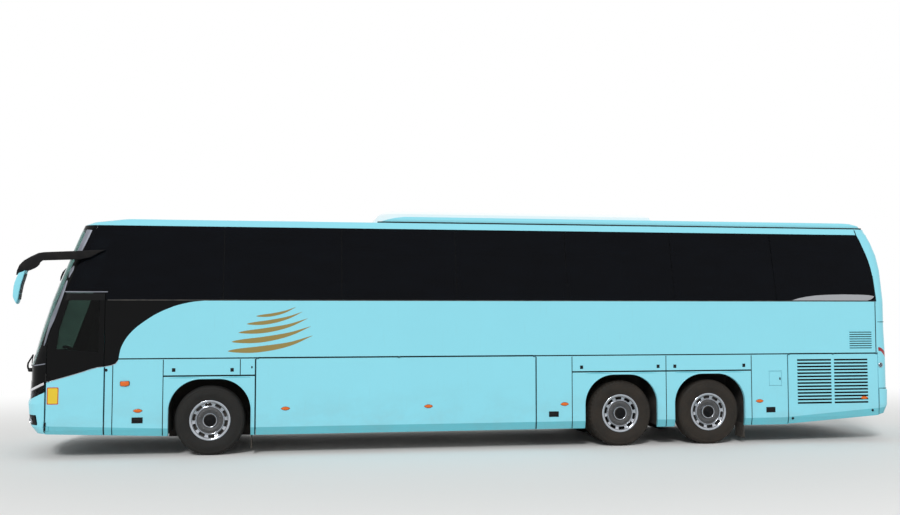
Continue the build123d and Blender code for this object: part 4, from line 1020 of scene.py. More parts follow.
def dressWheel(name, centreX, side, hand):
    drive = name == "drive"
    body, part, fineSteps = f"{hand}_{name}_wheel", f"{hand}-{name}", cover["steps"] // 2
    shape = bmesh.new()
    buildTyre(shape, centreX, wheel["middle"], side, drive)
    if drive:
        buildTyre(shape, centreX, wheel["middle"] - wheel["twinPitch"], side, drive)
    rubber = steerRubber if name == "front" else driveRubber
    tyre = makePiece(f"{part}-tyre-rubber", shape, rubber, body, sharp=40)
    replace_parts(tyre, f"{hand}_drive_tyres" if drive else f"{hand}_{name}_tyre")

    shape = bmesh.new()
    buildCover(shape, centreX, side, cover)
    turnRound(shape, hubRing, centreX, wheel["centreZ"], side, fineSteps)
    makePiece(f"{part}-wheel-cover", shape, chrome, body, sharp=50)

    shape = bmesh.new()
    turnRound(shape, trimDisc, centreX, wheel["centreZ"], side, fineSteps)
    size, rise = nutLook["size"], nutLook["height"]
    nutProfile = (
        (size * 1.25, 0), (size * 1.2, 0.0015), (size, 0.002), (size * 0.97, rise * 0.8), (size * 0.7, rise),
    )
    for i in range(nutLook["count"]):
        angle = 2 * math.pi * (i + 0.5) / nutLook["count"]
        seat = wheelPoint(centreX, side, nutLook["ring"], angle, nutLook["seat"])
        knob(shape, seat, Vector((0, side, 0)), nutProfile, segments=6)
    makePiece(f"{part}-wheel-disc", shape, wheelDisc, body, sharp=40)

    shape = bmesh.new()
    turnRound(shape, hubCap, centreX, wheel["centreZ"], side, fineSteps)
    makePiece(f"{part}-hub-cap", shape, capBlack, body, sharp=50)

    shape = bmesh.new()               # the valve reaches out through a slot
    valve = [wheelPoint(centreX, side, r, valveLook["angle"], out) for r, out in valveLook["path"]]
    for a, b in zip(valve, valve[1:]):
        knob(shape, a, b - a, ((valveLook["half"], 0), (valveLook["half"], (b - a).length)), segments=10)
    makePiece(f"{part}-valve", shape, trimBlack, body)


for side, hand in sides:
    for name, x in axleX.items():
        dressWheel(name, x, side, hand)
print("wheels dressed")

# lines and small fittings of the two sides: X and Z in metres
arch = {
    "half": 0.603, "top": 1.145, "corner": 0.475, "cornerSteps": 12, "foot": 0.315,
    "lipOut": 0.011, "lipWidth": 0.020, "lipHeight": 0.007,
}
crease = {
    "spans": ((-0.60, -0.16), (0.16, 0.60)), "ends": 1.166, "middle": 1.172,
    "thin": 0.002, "swell": 0.020, "height": 0.003,
}


def archPath(centreX, look):
    half, top, corner = (look[size] + look["lipOut"] for size in ("half", "top", "corner"))
    points = [(centreX - half, look["foot"])]
    for sign, first in ((-1, 180), (1, 90)):
        cx, cz = centreX + sign * (half - corner), top - corner
        for k in range(look["cornerSteps"] + 1):
            angle = math.radians(first - 90 * k / look["cornerSteps"])
            points.append((cx + corner * math.cos(angle), cz + corner * math.sin(angle)))
    points.append((centreX + half, look["foot"]))
    return points


def creaseWidth(t):
    return crease["thin"] + crease["swell"] * math.sin(math.pi * t)


for side, hand in sides:
    stripPiece(
        f"{hand}-arch-lips", [archPath(x, arch) for x in axleX.values()], arch["lipWidth"], arch["lipHeight"],
        ("side", side), aquaBody, "body_paint", section=roundSection, step=0.05,
    )
    creases = [                       # thin creases that fade out over each arch, in a darker aqua painted as their shade
        [(x + low, crease["ends"]), (x + (low + high) / 2, crease["middle"]), (x + high, crease["ends"])]
        for x in axleX.values() for low, high in crease["spans"]
    ]
    stripPiece(
        f"{hand}-arch-crease-shades", creases, creaseWidth, crease["height"], ("side", side),
        aquaShade, "body_paint", section=roundSection, step=0.03, smooth=True,
    )

# dark splash panels inboard of the front wheels, ribbed, with a folded foot; they also stand as painted shade
# under the coach, hiding the pale floor behind the wheels
splash = {
    "y": 0.520, "foot": 0.215, "top": 0.800, "spans": ((3.560, 4.090), (4.330, 4.880)), "sheet": 0.006,
    "fold": 0.022, "foldHeight": 0.014, "ribs": (0.08, 0.5, 0.92), "ribHalf": 0.012, "ribDepth": 0.014,
}
for side, hand in sides:
    shape = bmesh.new()
    y, low, high = splash["y"], splash["foot"], splash["top"]
    for rear, front in splash["spans"]:
        roundedBox(shape, (rear, side * y, low), (front, side * (y + splash["sheet"]), high), 0.002)
        foldTop = low + splash["foldHeight"]
        roundedBox(shape, (rear, side * y, low), (front, side * (y + splash["fold"]), foldTop), 0.005)
        for share in splash["ribs"]:
            x, half = rear + (front - rear) * share, splash["ribHalf"]
            ribY = side * (y + splash["ribDepth"])
            roundedBox(shape, (x - half, side * y, low), (x + half, ribY, high), 0.005)
    makePiece(f"{hand}-front-splash-shade-panels", shape, archLining)

hatchJoints = {
    "width": 0.022, "height": 0.0012,
    "lines": (((4.885, 1.196), (3.54, 1.196)), ((-1.40, 1.196), (-4.44, 1.196))),
}
thinJoints = {
    "width": 0.012, "height": 0.0018,
    "lines": (
        ((5.610, 0.342), (5.610, 1.362)), ((4.890, 0.316), (4.890, 1.440)), ((3.767, 1.200), (3.767, 1.440)),
        ((-1.400, 0.305), (-1.400, 1.440)), ((-2.970, 0.305), (-2.970, 1.440)),
        ((-4.440, 0.305), (-4.440, 1.440)),
    ),
}
# the seam that runs down the rear quarter from the gutter and then along the last pane
rearSeam = (
    (-6.494, 3.545), (-6.496, 3.505), (-6.507, 3.451), (-6.549, 3.357), (-6.580, 3.262), (-6.622, 3.141),
    (-6.657, 3.012), (-6.681, 2.883), (-6.693, 2.755), (-6.693, 2.619), (-6.690, 2.483), (-6.680, 2.336),
    (-6.676, 2.264), (-6.676, 1.472),
)
# black edging on the fixed panel beside each open seam, wider on the front ones: X, foot, top, width
seamEdges = (
    (6.555, 0.392, 1.105, 0.013), (5.725, 0.346, 1.335, 0.013), (3.545, 0.306, 1.440, 0.013),
    (-0.815, 0.306, 1.440, 0.013), (-5.078, 0.316, 1.440, 0.008), (-6.714, 0.440, 0.862, 0.008),
)
# seams that run on round the rear corner, with their widths
cornerSeams = ((((-6.712, 1.980), (-6.90, 1.980)), 0.008), (((-6.712, 0.873), (-6.90, 0.868)), 0.010))
beltLine = ((5.70, 2.327), (-6.68, 2.327))
gutter = {
    "path": ((1.68, 0.955), (1.60, 0.968), (-6.56, 0.968), (-6.64, 0.955)), "foot": 3.5605,
    # distance out and height of the section
    "section": (
        (-0.012, 0), (0.016, -0.001), (0.020, 0.004), (0.020, 0.0147), (0.016, 0.021), (-0.012, 0.021),
    ),
}
for side, hand in sides:
    face = ("side", side)
    shape = bmesh.new()
    for x, low, high, width in seamEdges:
        layStrip(shape, ((x, low), (x, high)), width, thinJoints["height"], face, step=0.03)
    for line in hatchJoints["lines"]:
        layStrip(shape, line, hatchJoints["width"], hatchJoints["height"], face)
    for line in thinJoints["lines"]:
        layStrip(shape, line, thinJoints["width"], thinJoints["height"], face, step=0.03)
    for line, width in cornerSeams:
        layStrip(shape, line, width, hatchJoints["height"], face, step=0.03)
    layStrip(shape, rearSeam, 0.014, 0.0022, face, step=0.05)
    makePiece(f"{hand}-panel-joints", shape, jointShadow)

    # belt seal under the panes and the gutter under the raised roof
    stripPiece(
        f"{hand}-belt-seal", [beltLine], 0.014, 0.004, face, sealRubber,
        section=roundSection, step=0.4,
    )
    shape = bmesh.new()
    loft(shape, [
        [(x, side * (y + out), gutter["foot"] + rise) for out, rise in gutter["section"]]
        for x, y in gutter["path"]
    ])
    makePiece(f"{hand}-roof-gutter", shape, trimBlack)

# silver line along the foot of the black, part on the door and part on the coach
silverLine = {"drop": 0.001, "width": 0.009, "height": 0.004}
silverFoot = [(x, z - silverLine["drop"]) for x, z in sweepLine[1:8]]
doorLine = [(6.528, 1.126)] + silverFoot[1:3] + [(5.752, 1.341)]
sideLine = [(5.728, 1.344)] + silverFoot[4:]
dripLine = ((6.305, 2.447), (5.705, 2.447))
quarterFilm = ((-6.505, 3.466),) + rearSeam[2:9] + ((-6.716, 2.757), (-6.716, 3.466))
for side, hand in sides:
    face, size = ("side", side), (silverLine["width"], silverLine["height"])
    stripPiece(
        f"{hand}-door-silver-line", [doorLine], *size, face, silverTrim, "trim_plastic",
        "driver_door" if hand == "left" else "coach", section=roundSection, step=0.05,
    )
    stripPiece(
        f"{hand}-side-silver-line", [sideLine], *size, face, silverTrim,
        section=roundSection, step=0.03,
    )
    stripPiece(                       # over the door
        f"{hand}-drip-rail", [dripLine], 0.020, 0.016, face, greyTrimAndPillarHighlight,
        section=roundSection, step=0.1,
    )
    shape = bmesh.new()               # paint over the corner of the last pane, behind the seam
    layFilm(shape, quarterFilm, 0.0016, side, 0.06)
    makePiece(f"{hand}-rear-quarter-film", shape, aquaBody)

print("side lines laid")

# amber markers: pointed ovals low on the sides, X, Z and what the left one rides on
markerLook = {
    "halfWidth": 0.066, "halfHeight": 0.025, "rise": 0.013, "points": 32, "pointed": 1.5,
    "seatEdge": 0.005, "seatRise": 0.0045, "overLouvres": 0.005,
}
markers = (
    (5.246, 0.690, "coach"), (3.090, 0.690, "luggage_door"), (0.905, 0.690, "luggage_door"),
    (-1.275, 0.690, "coach"), (-4.577, 0.690, "coach"), (-6.442, 0.718, "louvre_door"),
)
# a wedge repeater behind each front door, taller at its front
repeater = {
    "place": (5.435, 1.090),
    "outline": (
        (0.066, 0.024), (0.056, 0.036), (-0.054, 0.040), (-0.064, 0.030), (-0.066, -0.014),
        (-0.056, -0.026), (-0.010, -0.038), (0.058, -0.032), (0.066, -0.022),
    ),
    "seat": (1.07, -0.001, 0.006),    # share of the outline, foot and rise
    "lens": (0.96, 0.003, 0.020),
}


def ovalAt(shape, x, z, side, look, grow, base, rise):
    point, normal = skinAt(x, z, side)
    up = Vector((0, 0, 1))
    along = up.cross(normal).normalized()
    wide, tall = look["halfWidth"] + grow, look["halfHeight"] + grow
    loops = []
    for share, height in ((1.0, 0), (0.98, 0.3), (0.86, 0.72), (0.62, 0.93), (0.25, 1)):
        loop = []
        for i in range(look["points"]):
            angle = 2 * math.pi * i / look["points"]
            rounded = math.copysign(abs(math.sin(angle)) ** look["pointed"], math.sin(angle))
            loop.append(
                point + along * (math.cos(angle) * wide * share) + up * (rounded * tall * share)
                + normal * (base + rise * height)
            )
        loops.append(loop)
    loft(shape, loops)


def wedgeAt(shape, x, z, side, outline, grow, base, rise):
    point, normal = skinAt(x, z, side)
    levels = ((1, 0), (1, 0.55), (0.93, 0.85), (0.80, 1))
    loft(shape, [[
        point + Vector((u * grow * share, 0, v * grow * share)) + normal * (base + rise * height)
        for u, v in outline
    ] for share, height in levels])


for side, hand in sides:
    for i, (x, z, ridden) in enumerate(markers):
        body = ridden if ridden == "coach" else f"{hand}_{ridden}"
        lift = markerLook["overLouvres"] if ridden == "louvre_door" else 0.0
        shape = bmesh.new()
        ovalAt(shape, x, z, side, markerLook, 0.0, 0.002 + lift, markerLook["rise"])
        makePiece(f"{hand}-marker-{i}", shape, amberGlass, body)
        shape = bmesh.new()
        ovalAt(shape, x, z, side, markerLook, markerLook["seatEdge"], -0.001, markerLook["seatRise"] + lift)
        makePiece(f"{hand}-marker-seat-{i}", shape, trimBlack, body)
    for label, finish, slotName in (("seat", trimBlack, "trim_plastic"), ("lens", amberGlass, "lamp_lens")):
        shape = bmesh.new()
        wedgeAt(shape, *repeater["place"], side, repeater["outline"], *repeater[label])
        makePiece(f"{hand}-repeater-{label}", shape, finish)

# black recessed pull handles, square locks, round stops and the flap's catch
handleLook = {
    "width": 0.158, "height": 0.086, "rim": 0.010,
    # grip and catch: shares of half the width and of half the height, span out, rounding
    "inside": (
        ((-0.72, 0.52), (-0.30, 0.52), (0.001, 0.009), 0.003),
        ((0.60, 0.82), (-0.55, 0.10), (0.001, 0.005), 0.002),
    ),
}
handlePlaces = ((5.252, 0.550), (-1.098, 0.535), (-4.770, 0.546))
lockLook = {
    "halfWidth": 0.025, "halfHeight": 0.027, "plate": 0.004,
    "keyHalf": 0.003, "keyTall": 0.010, "key": 0.0098,
}
lockPlaces = (
    (4.739, 1.286), (3.887, 1.281), (-1.557, 1.269), (-2.836, 1.272), (-3.120, 1.271), (-4.309, 1.275),
)
doorStop = {
    "place": (5.704, 1.293),
    "profile": ((0.021, -0.001), (0.021, 0.005), (0.017, 0.008), (0.010, 0.008), (0.009, 0.005)),
}
louvreStops = {
    "places": ((-5.157, 0.399), (-6.590, 0.507)),
    "profile": ((0.021, -0.001), (0.021, 0.004), (0.018, 0.007), (0.010, 0.0075), (0.009, 0.005)),
}
flapLatch = {
    "place": (3.596, 1.317), "profile": ((0.011, -0.001), (0.011, 0.004), (0.008, 0.006)), "tall": 1.7,
}
fuelCatch = {
    "place": (-4.940, 1.050), "profile": ((0.012, -0.001), (0.012, 0.004), (0.009, 0.007)), "tall": 1.9,
}


# a slab against the side at a point: its spans along, up and out are given from that point
def slabAt(shape, point, side, along, up, out, radius):
    corners = [(point.x + along[k], point.y + side * out[k], point.z + up[k]) for k in (0, 1)]
    roundedBox(shape, *corners, radius)


def pullHandle(shape, x, z, side, look):
    point, _ = skinAt(x, z, side)
    w, h, rim = look["width"] / 2, look["height"] / 2, look["rim"]
    slabAt(shape, point, side, (-w, w), (-h, h), (-0.001, 0.0015), 0.001)
    for along, up in (
        ((-w, w), (h - rim, h)), ((-w, w), (-h, -h + rim)),
        ((-w, -w + rim), (-h, h)), ((w - rim, w), (-h, h)),
    ):
        slabAt(shape, point, side, along, up, (0.0, 0.006), 0.0025)
    for along, up, out, radius in look["inside"]:
        slabAt(shape, point, side, [w * share for share in along], [h * share for share in up], out, radius)


def squareLock(shape, x, z, side, look):
    point, normal = skinAt(x, z, side)
    w, h, out = look["halfWidth"], look["halfHeight"], look["plate"]
    slabAt(shape, point, side, (-w, w), (-h, h), (-0.001, out), 0.003)
    knob(shape, point + normal * out, normal, ((0.014, -0.002), (0.014, 0.002), (0.011, 0.004)), 20)
    w, h = look["keyHalf"], look["keyTall"]
    slabAt(shape, point, side, (-w, w), (-h, h), (out, look["key"]), 0.001)


for side, hand in sides:
    shape = bmesh.new()
    for x, z in handlePlaces:
        pullHandle(shape, x, z, side, handleLook)
    for x, z in lockPlaces:
        squareLock(shape, x, z, side, lockLook)
    knob(shape, *skinAt(*doorStop["place"], side), doorStop["profile"], 24)
    knob(shape, *skinAt(*flapLatch["place"], side), flapLatch["profile"], 18, stretch=(1, flapLatch["tall"]))
    makePiece(f"{hand}-handles-and-locks", shape, trimBlack)
    stops = [skinAt(x, z, side) for x, z in louvreStops["places"]]
    knobPiece(
        f"{hand}-louvre-door-stops", stops, louvreStops["profile"], 24, trimBlack,
        f"{hand}_louvre_door",
    )

shape = bmesh.new()
knob(shape, *skinAt(*fuelCatch["place"], 1), fuelCatch["profile"], 18, stretch=(1, fuelCatch["tall"]))
makePiece("fuel-flap-catch", shape, trimBlack, "fuel_flap")

# the small vent high at the back: dark slots under short hoods, their black a painted shade inside the vent
vent = {
    "rear": -6.598, "front": -6.199, "foot": 1.548, "top": 1.811, "slots": 8, "slotHeight": 0.018,
    "hoodUp": 0.0085, "hoodWidth": 0.009, "hoodHeight": 0.0075, "hoodPast": 0.006,
    "edge": 0.035, "edgeWidth": 0.004,
}
for side, hand in sides:
    slots, hoods, face = bmesh.new(), bmesh.new(), ("side", side)
    rear, front, foot, top = (vent[end] for end in ("rear", "front", "foot", "top"))
    pitch = (top - foot) / (vent["slots"] - 1)
    for i in range(vent["slots"]):
        z, past = foot + pitch * i, vent["hoodPast"]
        layStrip(slots, ((rear, z), (front, z)), vent["slotHeight"], 0.001, face, step=0.1)
        z += vent["hoodUp"]
        layStrip(
            hoods, ((rear - past, z), (front + past, z)), vent["hoodWidth"], vent["hoodHeight"], face,
            roundSection, step=0.1,
        )
    x0, x1, z0, z1 = rear - vent["edge"], front + vent["edge"], foot - vent["edge"], top + vent["edge"]
    for line in aroundCorners(((x0, z0), (x1, z0), (x1, z1), (x0, z1))):
        layStrip(hoods, line, vent["edgeWidth"], 0.0012, face, step=0.1)
    makePiece(f"{hand}-vent-slot-shade", slots, jointShadow)
    makePiece(f"{hand}-vent-hoods", hoods, aquaBody)

# the big louvres: dark slots, the painted shade of the openings, with a folded slat between each two
louvre = {
    "columns": ((-5.854, -5.250), (-6.513, -5.908)),
    "first": 0.647, "pitch": 0.05427, "count": 14, "slot": 0.028,
    "face": 1.2752, "sunk": 0.002, "slotRise": 0.0006,
}


def bar(shape, ends, side, section):
    loft(shape, [[(x, side * y, z) for y, z in section] for x in ends])


for side, hand in sides:
    slots, slats = bmesh.new(), bmesh.new()
    face, half, back = louvre["face"], louvre["slot"] / 2, louvre["face"] - louvre["sunk"]
    for ends in louvre["columns"]:
        for i in range(louvre["count"]):
            z, rise = louvre["first"] + louvre["pitch"] * i, face + louvre["slotRise"]
            bar(slots, ends, side, ((back, z - half), (rise, z - half), (rise, z + half), (back, z + half)))
            if i < louvre["count"] - 1:
                low, high = z + half, z + louvre["pitch"] - half
                bar(slats, ends, side, (
                    (back, low), (face + 0.0018, low), (face + 0.0034, low + 0.004),
                    (face + 0.0030, low + 0.014), (face + 0.0010, high - 0.004), (face, high), (back, high),
                ))
    makePiece(f"{hand}-louvre-slot-shade", slots, jointShadow, f"{hand}_louvre_door")
    makePiece(f"{hand}-louvre-slats", slats, aquaBody, f"{hand}_louvre_door")

# gold stripes of the livery: long blades that taper to both ends, four points and the greatest width
stripes = {
    "blades": (
        ((3.955, 1.560), (3.50, 1.585), (3.05, 1.660), (2.690, 1.790), 0.088),
        ((3.900, 1.700), (3.46, 1.730), (3.05, 1.810), (2.720, 1.930), 0.080),
        ((3.800, 1.838), (3.42, 1.868), (3.06, 1.940), (2.770, 2.050), 0.070),
        ((3.680, 1.968), (3.38, 1.992), (3.09, 2.055), (2.850, 2.150), 0.058),
        ((3.540, 2.086), (3.32, 2.104), (3.12, 2.150), (2.950, 2.222), 0.044),
    ),
    "film": 0.0009,
    "tip": 0.002,
}
silverFlash = (
    (-5.176, 2.338), (-5.30, 2.372), (-5.45, 2.400), (-5.62, 2.421), (-5.85, 2.434), (-6.12, 2.440),
    (-6.42, 2.436), (-6.58, 2.428), (-6.675, 2.412), (-6.655, 2.385), (-6.61, 2.358), (-6.54, 2.338),
)


def bladeWidth(most):
    return lambda t: stripes["tip"] + most * math.sin(math.pi * t ** 0.72) ** 0.9


for side, hand in sides:
    shape = bmesh.new()
    for *line, most in stripes["blades"]:
        layStrip(shape, line, bladeWidth(most), stripes["film"], ("side", side), step=0.03, smooth=True)
    makePiece(f"{hand}-gold-stripes", shape, goldStripe)

    shape = bmesh.new()               # silver flash over the last pane's foot
    layFilm(shape, silverFlash, 0.0015, side)
    makePiece(f"{hand}-silver-flash", shape, silverFilm)

# a blank film with a red edge on the driver's door
doorFilm = {"rear": 6.366, "front": 6.528, "foot": 0.800, "top": 1.049, "corner": 0.010, "edge": 0.013}
for name, finish, inset, height in (
    ("edge", filmRed, 0.0, 0.0008), ("field", blankSticker, doorFilm["edge"], 0.0014),
):
    shape = bmesh.new()
    layFilm(shape, cutRectangle(
        doorFilm["rear"] + inset, doorFilm["front"] - inset,
        doorFilm["foot"] + inset, doorFilm["top"] - inset, doorFilm["corner"],
    ), height, 1)
    makePiece(f"door-blank-film-{name}", shape, finish, "driver_door")
print("side fittings and livery on")

# headlamps: a smoked lens over a dark bowl with two round units, a bright strip along the top
lampLook = {
    "centre": (6.552, 0.692),     # the corner is read round this point, X and Y
    "firstDegrees": 1.5, "allDegrees": 86.5, "turns": 26, "rows": 7,
    "margin": 0.002, "lensSink": 0.0005, "lensThickness": 0.004,
    "bowlRim": 0.012, "bowlDepth": 0.075, "bowlWall": 0.003,
    "units": ((14, 0.036), (40, 0.033)),      # degrees round the corner and radius
    "unitSeat": 0.058,
    "strip": 0.036,
    # distance out and share of the strip's height
    "stripSection": (
        (-0.006, -0.9), (0.0035, -0.85), (0.0065, -0.5), (0.0065, -0.1), (0.0035, 0.15), (-0.006, 0.15),
    ),
}
lampTree = treeOf(("front_lamps", "front_bumper", "front_mask"))


def lampLevel(line, x):
    for (x0, z0), (x1, z1) in zip(line, line[1:]):
        if x <= x1:
            break
    return z0 + (z1 - z0) * (x - x0) / (x1 - x0)


# a point on the corner's skin and the level way out to it
def lampSkin(angle, z, side, look):
    aim = Vector((math.cos(angle), side * math.sin(angle), 0))
    centre = Vector((look["centre"][0], side * look["centre"][1], z))
    return lampTree.ray_cast(centre + aim * 2, -aim)[0], aim


def lampEdges(angle, side, look):
    x = lampSkin(angle, 1.0, side, look)[0].x
    return lampLevel(lampLow, x), lampLevel(lampHigh, x)


def lampGrid(side, look):
    columns = []
    for i in range(look["turns"] + 1):
        angle = math.radians(look["firstDegrees"] + look["allDegrees"] * i / look["turns"])
        low, high = lampEdges(angle, side, look)
        low, high = low + look["margin"], high - look["margin"]
        levels = [low + (high - low) * k / look["rows"] for k in range(look["rows"] + 1)]
        columns.append([lampSkin(angle, z, side, look) for z in levels])
    return columns


def gridFaces(shape, rows):
    for a, b in zip(rows, rows[1:]):
        for i in range(len(a) - 1):
            shape.faces.new((a[i], a[i + 1], b[i + 1], b[i]))


def rimOf(rows):
    outward = [row[0] for row in rows] + rows[-1][1:]
    return outward + [row[-1] for row in reversed(rows[:-1])] + rows[0][-2:0:-1]


# a closed sheet that follows the skin, between two depths under it
def skinSheet(shape, columns, nearer, deeper):
    front, back = [
        [[shape.verts.new(point - aim * depth) for point, aim in column] for column in columns]
        for depth in (nearer, deeper)
    ]
    gridFaces(shape, front)
    gridFaces(shape, back)
    rim, rimBack = rimOf(front), rimOf(back)
    for i in range(len(rim)):
        k = (i + 1) % len(rim)
        shape.faces.new((rim[i], rim[k], rimBack[k], rimBack[i]))


# an open tray that is deepest in its middle
def lampBowl(shape, grid, look):
    rim, depth = look["bowlRim"], look["bowlDepth"]
    deep = []
    for i, column in enumerate(grid):
        edge = min(i, len(grid) - 1 - i) / 3
        deep.append([
            (point, aim, rim + (depth - rim) * min(1, edge, min(k, len(column) - 1 - k) / 1.5))
            for k, (point, aim) in enumerate(column)
        ])
    sheets = [
        [[shape.verts.new(point - aim * (d + wall)) for point, aim, d in column] for column in deep]
        for wall in (0, look["bowlWall"])
    ]
    for rows in sheets:
        gridFaces(shape, rows)


lampBowlFinish = solidFinish("lampBowlDark", {
    "colour": (0.006, 0.0065, 0.008), "roughness": 0.25, "specular": 0.1, "grain": (0.1, 200),
})
lensTemplate = ((0.0, 1.0), (0.35, 0.93), (0.65, 0.75), (0.85, 0.50), (0.97, 0.18))


def headlamp(side, hand, look):
    grid = lampGrid(side, look)
    shape = bmesh.new()
    skinSheet(shape, grid, look["lensSink"], look["lensSink"] + look["lensThickness"])
    lens = makePiece(f"{hand}-headlamp-lens", shape, smokedLens)
    shape = bmesh.new()
    lampBowl(shape, grid, look)
    makePiece(f"{hand}-headlamp-bowl", shape, lampBowlFinish, sharp=60)

    reflectors, bulbs = bmesh.new(), bmesh.new()
    for degrees, radius in look["units"]:
        angle = math.radians(degrees)
        point, aim = lampSkin(angle, sum(lampEdges(angle, side, look)) / 2, side, look)
        seat = point - aim * look["unitSeat"]
        knob(reflectors, seat, aim, (
            (radius * 0.6, -0.012), (radius * 1.25, 0.0), (radius * 1.28, 0.020), (radius * 1.16, 0.024),
            (radius * 1.10, 0.018), (radius * 0.95, 0.010),
        ), 32)
        dome = tuple((radius * (r + 0.001), 0.012 + h * 0.020) for r, h in reversed(lensTemplate))
        knob(bulbs, seat, aim, dome, 32)
    makePiece(f"{hand}-headlamp-rings", reflectors, chrome)
    makePiece(f"{hand}-headlamp-units", bulbs, lampGlass)

    shape = bmesh.new()               # bright strip over the lamp
    loft(shape, [
        [point + aim * out + Vector((0, 0, up * look["strip"])) for out, up in look["stripSection"]]
        for point, aim in (column[-1] for column in grid)
    ])
    makePiece(f"{hand}-headlamp-strip", shape, brightStrip)
    return lens


# fog lamps: a black recess plate round the corner with a round lamp and a corner lamp
fogGlass = solidFinish("fogLampGlass", {
    "colour": (0.62, 0.64, 0.64), "roughness": 0.12, "specular": 0.8, "grain": (0.05, 160),
    "dust": 0.1,
})
fogLook = {
    "inner": 0.822, "outer": 1.243, "foot": 0.502, "top": 0.646, "columns": 22, "rows": 5,
    "centre": (6.60, 0.86),
    "plateSink": 0.006, "plateBack": 0.036, "seat": 0.014,
    "lamps": ((0.925, 0.046, "lamp", fogGlass), (1.180, 0.034, "corner", lampGlass)),    # Y and radius first
}


def fogSkin(y, z, side):
    point, _ = endAt(side * y, z, 1)
    aim = point - Vector((fogLook["centre"][0], side * fogLook["centre"][1], z))
    aim.z = 0
    return point, aim.normalized()


def fogLamps(side, hand, look):
    columns = []
    for i in range(look["columns"] + 1):
        y = look["inner"] + (look["outer"] - look["inner"]) * math.sin(math.pi / 2 * i / look["columns"])
        columns.append([
            fogSkin(y, look["foot"] + (look["top"] - look["foot"]) * k / look["rows"], side)
            for k in range(look["rows"] + 1)
        ])
    shape = bmesh.new()
    skinSheet(shape, columns, look["plateSink"], look["plateBack"])
    makePiece(f"{hand}-fog-plate", shape, trimBlack)
    for y, radius, name, finish in look["lamps"]:
        point, aim = fogSkin(y, (look["foot"] + look["top"]) / 2, side)
        seat = point - aim * look["seat"]
        knobPiece(f"{hand}-fog-{name}-ring", [(seat, aim)], (
            (radius * 1.18, -0.004), (radius * 1.22, 0.012), (radius * 1.16, 0.017), (radius * 1.06, 0.015),
            (radius, 0.006),
        ), 32, chrome)
        knobPiece(f"{hand}-fog-{name}", [(seat, aim)], (
            (radius * 1.02, 0.004), (radius, 0.010), (radius * 0.8, 0.0155), (radius * 0.36, 0.018),
        ), 32, finish)


lenses = []
for side, hand in sides:
    lenses.append(headlamp(side, hand, lampLook))
    fogLamps(side, hand, fogLook)
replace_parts(lenses[0], "front_lamps")


# front: grille lines low down, a blank plate in its holder, and the bright strips that run on across
def acrossAt(half, *levels):
    return [((-half, z), (half, z)) for z in levels]


nose = ("end", 1)
stripPiece(
    "front-grille-bars", acrossAt(0.62, 0.405, 0.445, 0.485, 0.525, 0.565), 0.018, 0.006, nose,
    trimBlack, section=roundSection, step=0.08,
)
stripPiece(
    "front-blank-plate", acrossAt(0.265, 0.700), 0.120, 0.007, nose, unitWhite, "roof_white", step=0.05,
)
stripPiece(
    "front-plate-holder", acrossAt(0.275, 0.634, 0.766), 0.010, 0.011, nose, trimBlack,
    section=roundSection, step=0.05,
)
stripPiece(
    "front-mask-blade", acrossAt(0.692, 0.972), 0.037, 0.0065, nose, brightStrip,
    section=roundSection, step=0.08,
)

# grey-blue strips on the windscreen pillars, a painted highlight along the pillar's edge, in three pieces;
# front and rear edge of each, X and Z
pillarHighlightStrips = {
    "head": (
        ((6.074, 3.390), (6.108, 3.285), (6.146, 3.180), (6.184, 3.075), (6.214, 2.985), (6.222, 2.950)),
        ((5.983, 3.380), (6.019, 3.281), (6.060, 3.178), (6.102, 3.079), (6.140, 2.985), (6.172, 2.940)),
    ),
    "drop": (
        ((6.216, 2.838), (6.258, 2.797), (6.276, 2.750), (6.280, 2.699), (6.278, 2.660)),
        ((6.208, 2.834), (6.211, 2.788), (6.227, 2.746), (6.249, 2.702), (6.270, 2.658)),
    ),
    "blade": (
        ((6.300, 2.625), (6.315, 2.598), (6.337, 2.549), (6.368, 2.450), (6.399, 2.336), (6.437, 2.235),
         (6.482, 2.128), (6.517, 2.025), (6.545, 1.911), (6.566, 1.813), (6.586, 1.715), (6.592, 1.660)),
        ((6.293, 2.620), (6.290, 2.600), (6.300, 2.551), (6.322, 2.445), (6.353, 2.330), (6.385, 2.225),
         (6.419, 2.118), (6.452, 2.024), (6.503, 1.911), (6.534, 1.813), (6.561, 1.712), (6.586, 1.655)),
    ),
}
# share of the way from the front edge to the rear one, and height over the skin
pillarHighlightSection = ((0, -0.002), (0.04, 0.003), (0.25, 0.006), (0.75, 0.006), (0.96, 0.003), (1, -0.002))


def layPillarHighlight(shape, front, rear, side):
    loops = []
    for (x0, z0), (x1, z1) in zip(front, rear):
        loop = []
        for share, height in pillarHighlightSection:
            point, normal = skinAt(x0 + (x1 - x0) * share, z0 + (z1 - z0) * share, side)
            loop.append(point + normal * height)
        loops.append(loop)
    loft(shape, loops)


for side, hand in sides:
    shape = bmesh.new()
    for front, rear in pillarHighlightStrips.values():
        layPillarHighlight(shape, front, rear, side)
    makePiece(f"{hand}-pillar-highlight-strip", shape, greyTrimAndPillarHighlight)

# mirrors: softened arms, heads in the body's colour, glass on their rear faces
softCopy("mirror-arms-soft", "mirror_arms", trimBlack, 0.017, softLook)

# the outline of a mirror head, X and Z
headOutline = (
    (6.820, 2.751), (6.851, 2.739), (6.900, 2.723), (6.924, 2.712), (6.941, 2.670), (6.955, 2.638),
    (6.976, 2.574), (6.987, 2.520), (6.991, 2.477), (6.994, 2.430), (6.995, 2.380), (6.985, 2.346),
    (6.970, 2.313), (6.953, 2.286), (6.934, 2.266), (6.924, 2.276), (6.910, 2.332), (6.897, 2.429),
    (6.877, 2.542), (6.848, 2.639),
)
headTop = headOutline[0][1]
headRear = headOutline[14:] + headOutline[:1]     # the outline's rear edge, from the foot up
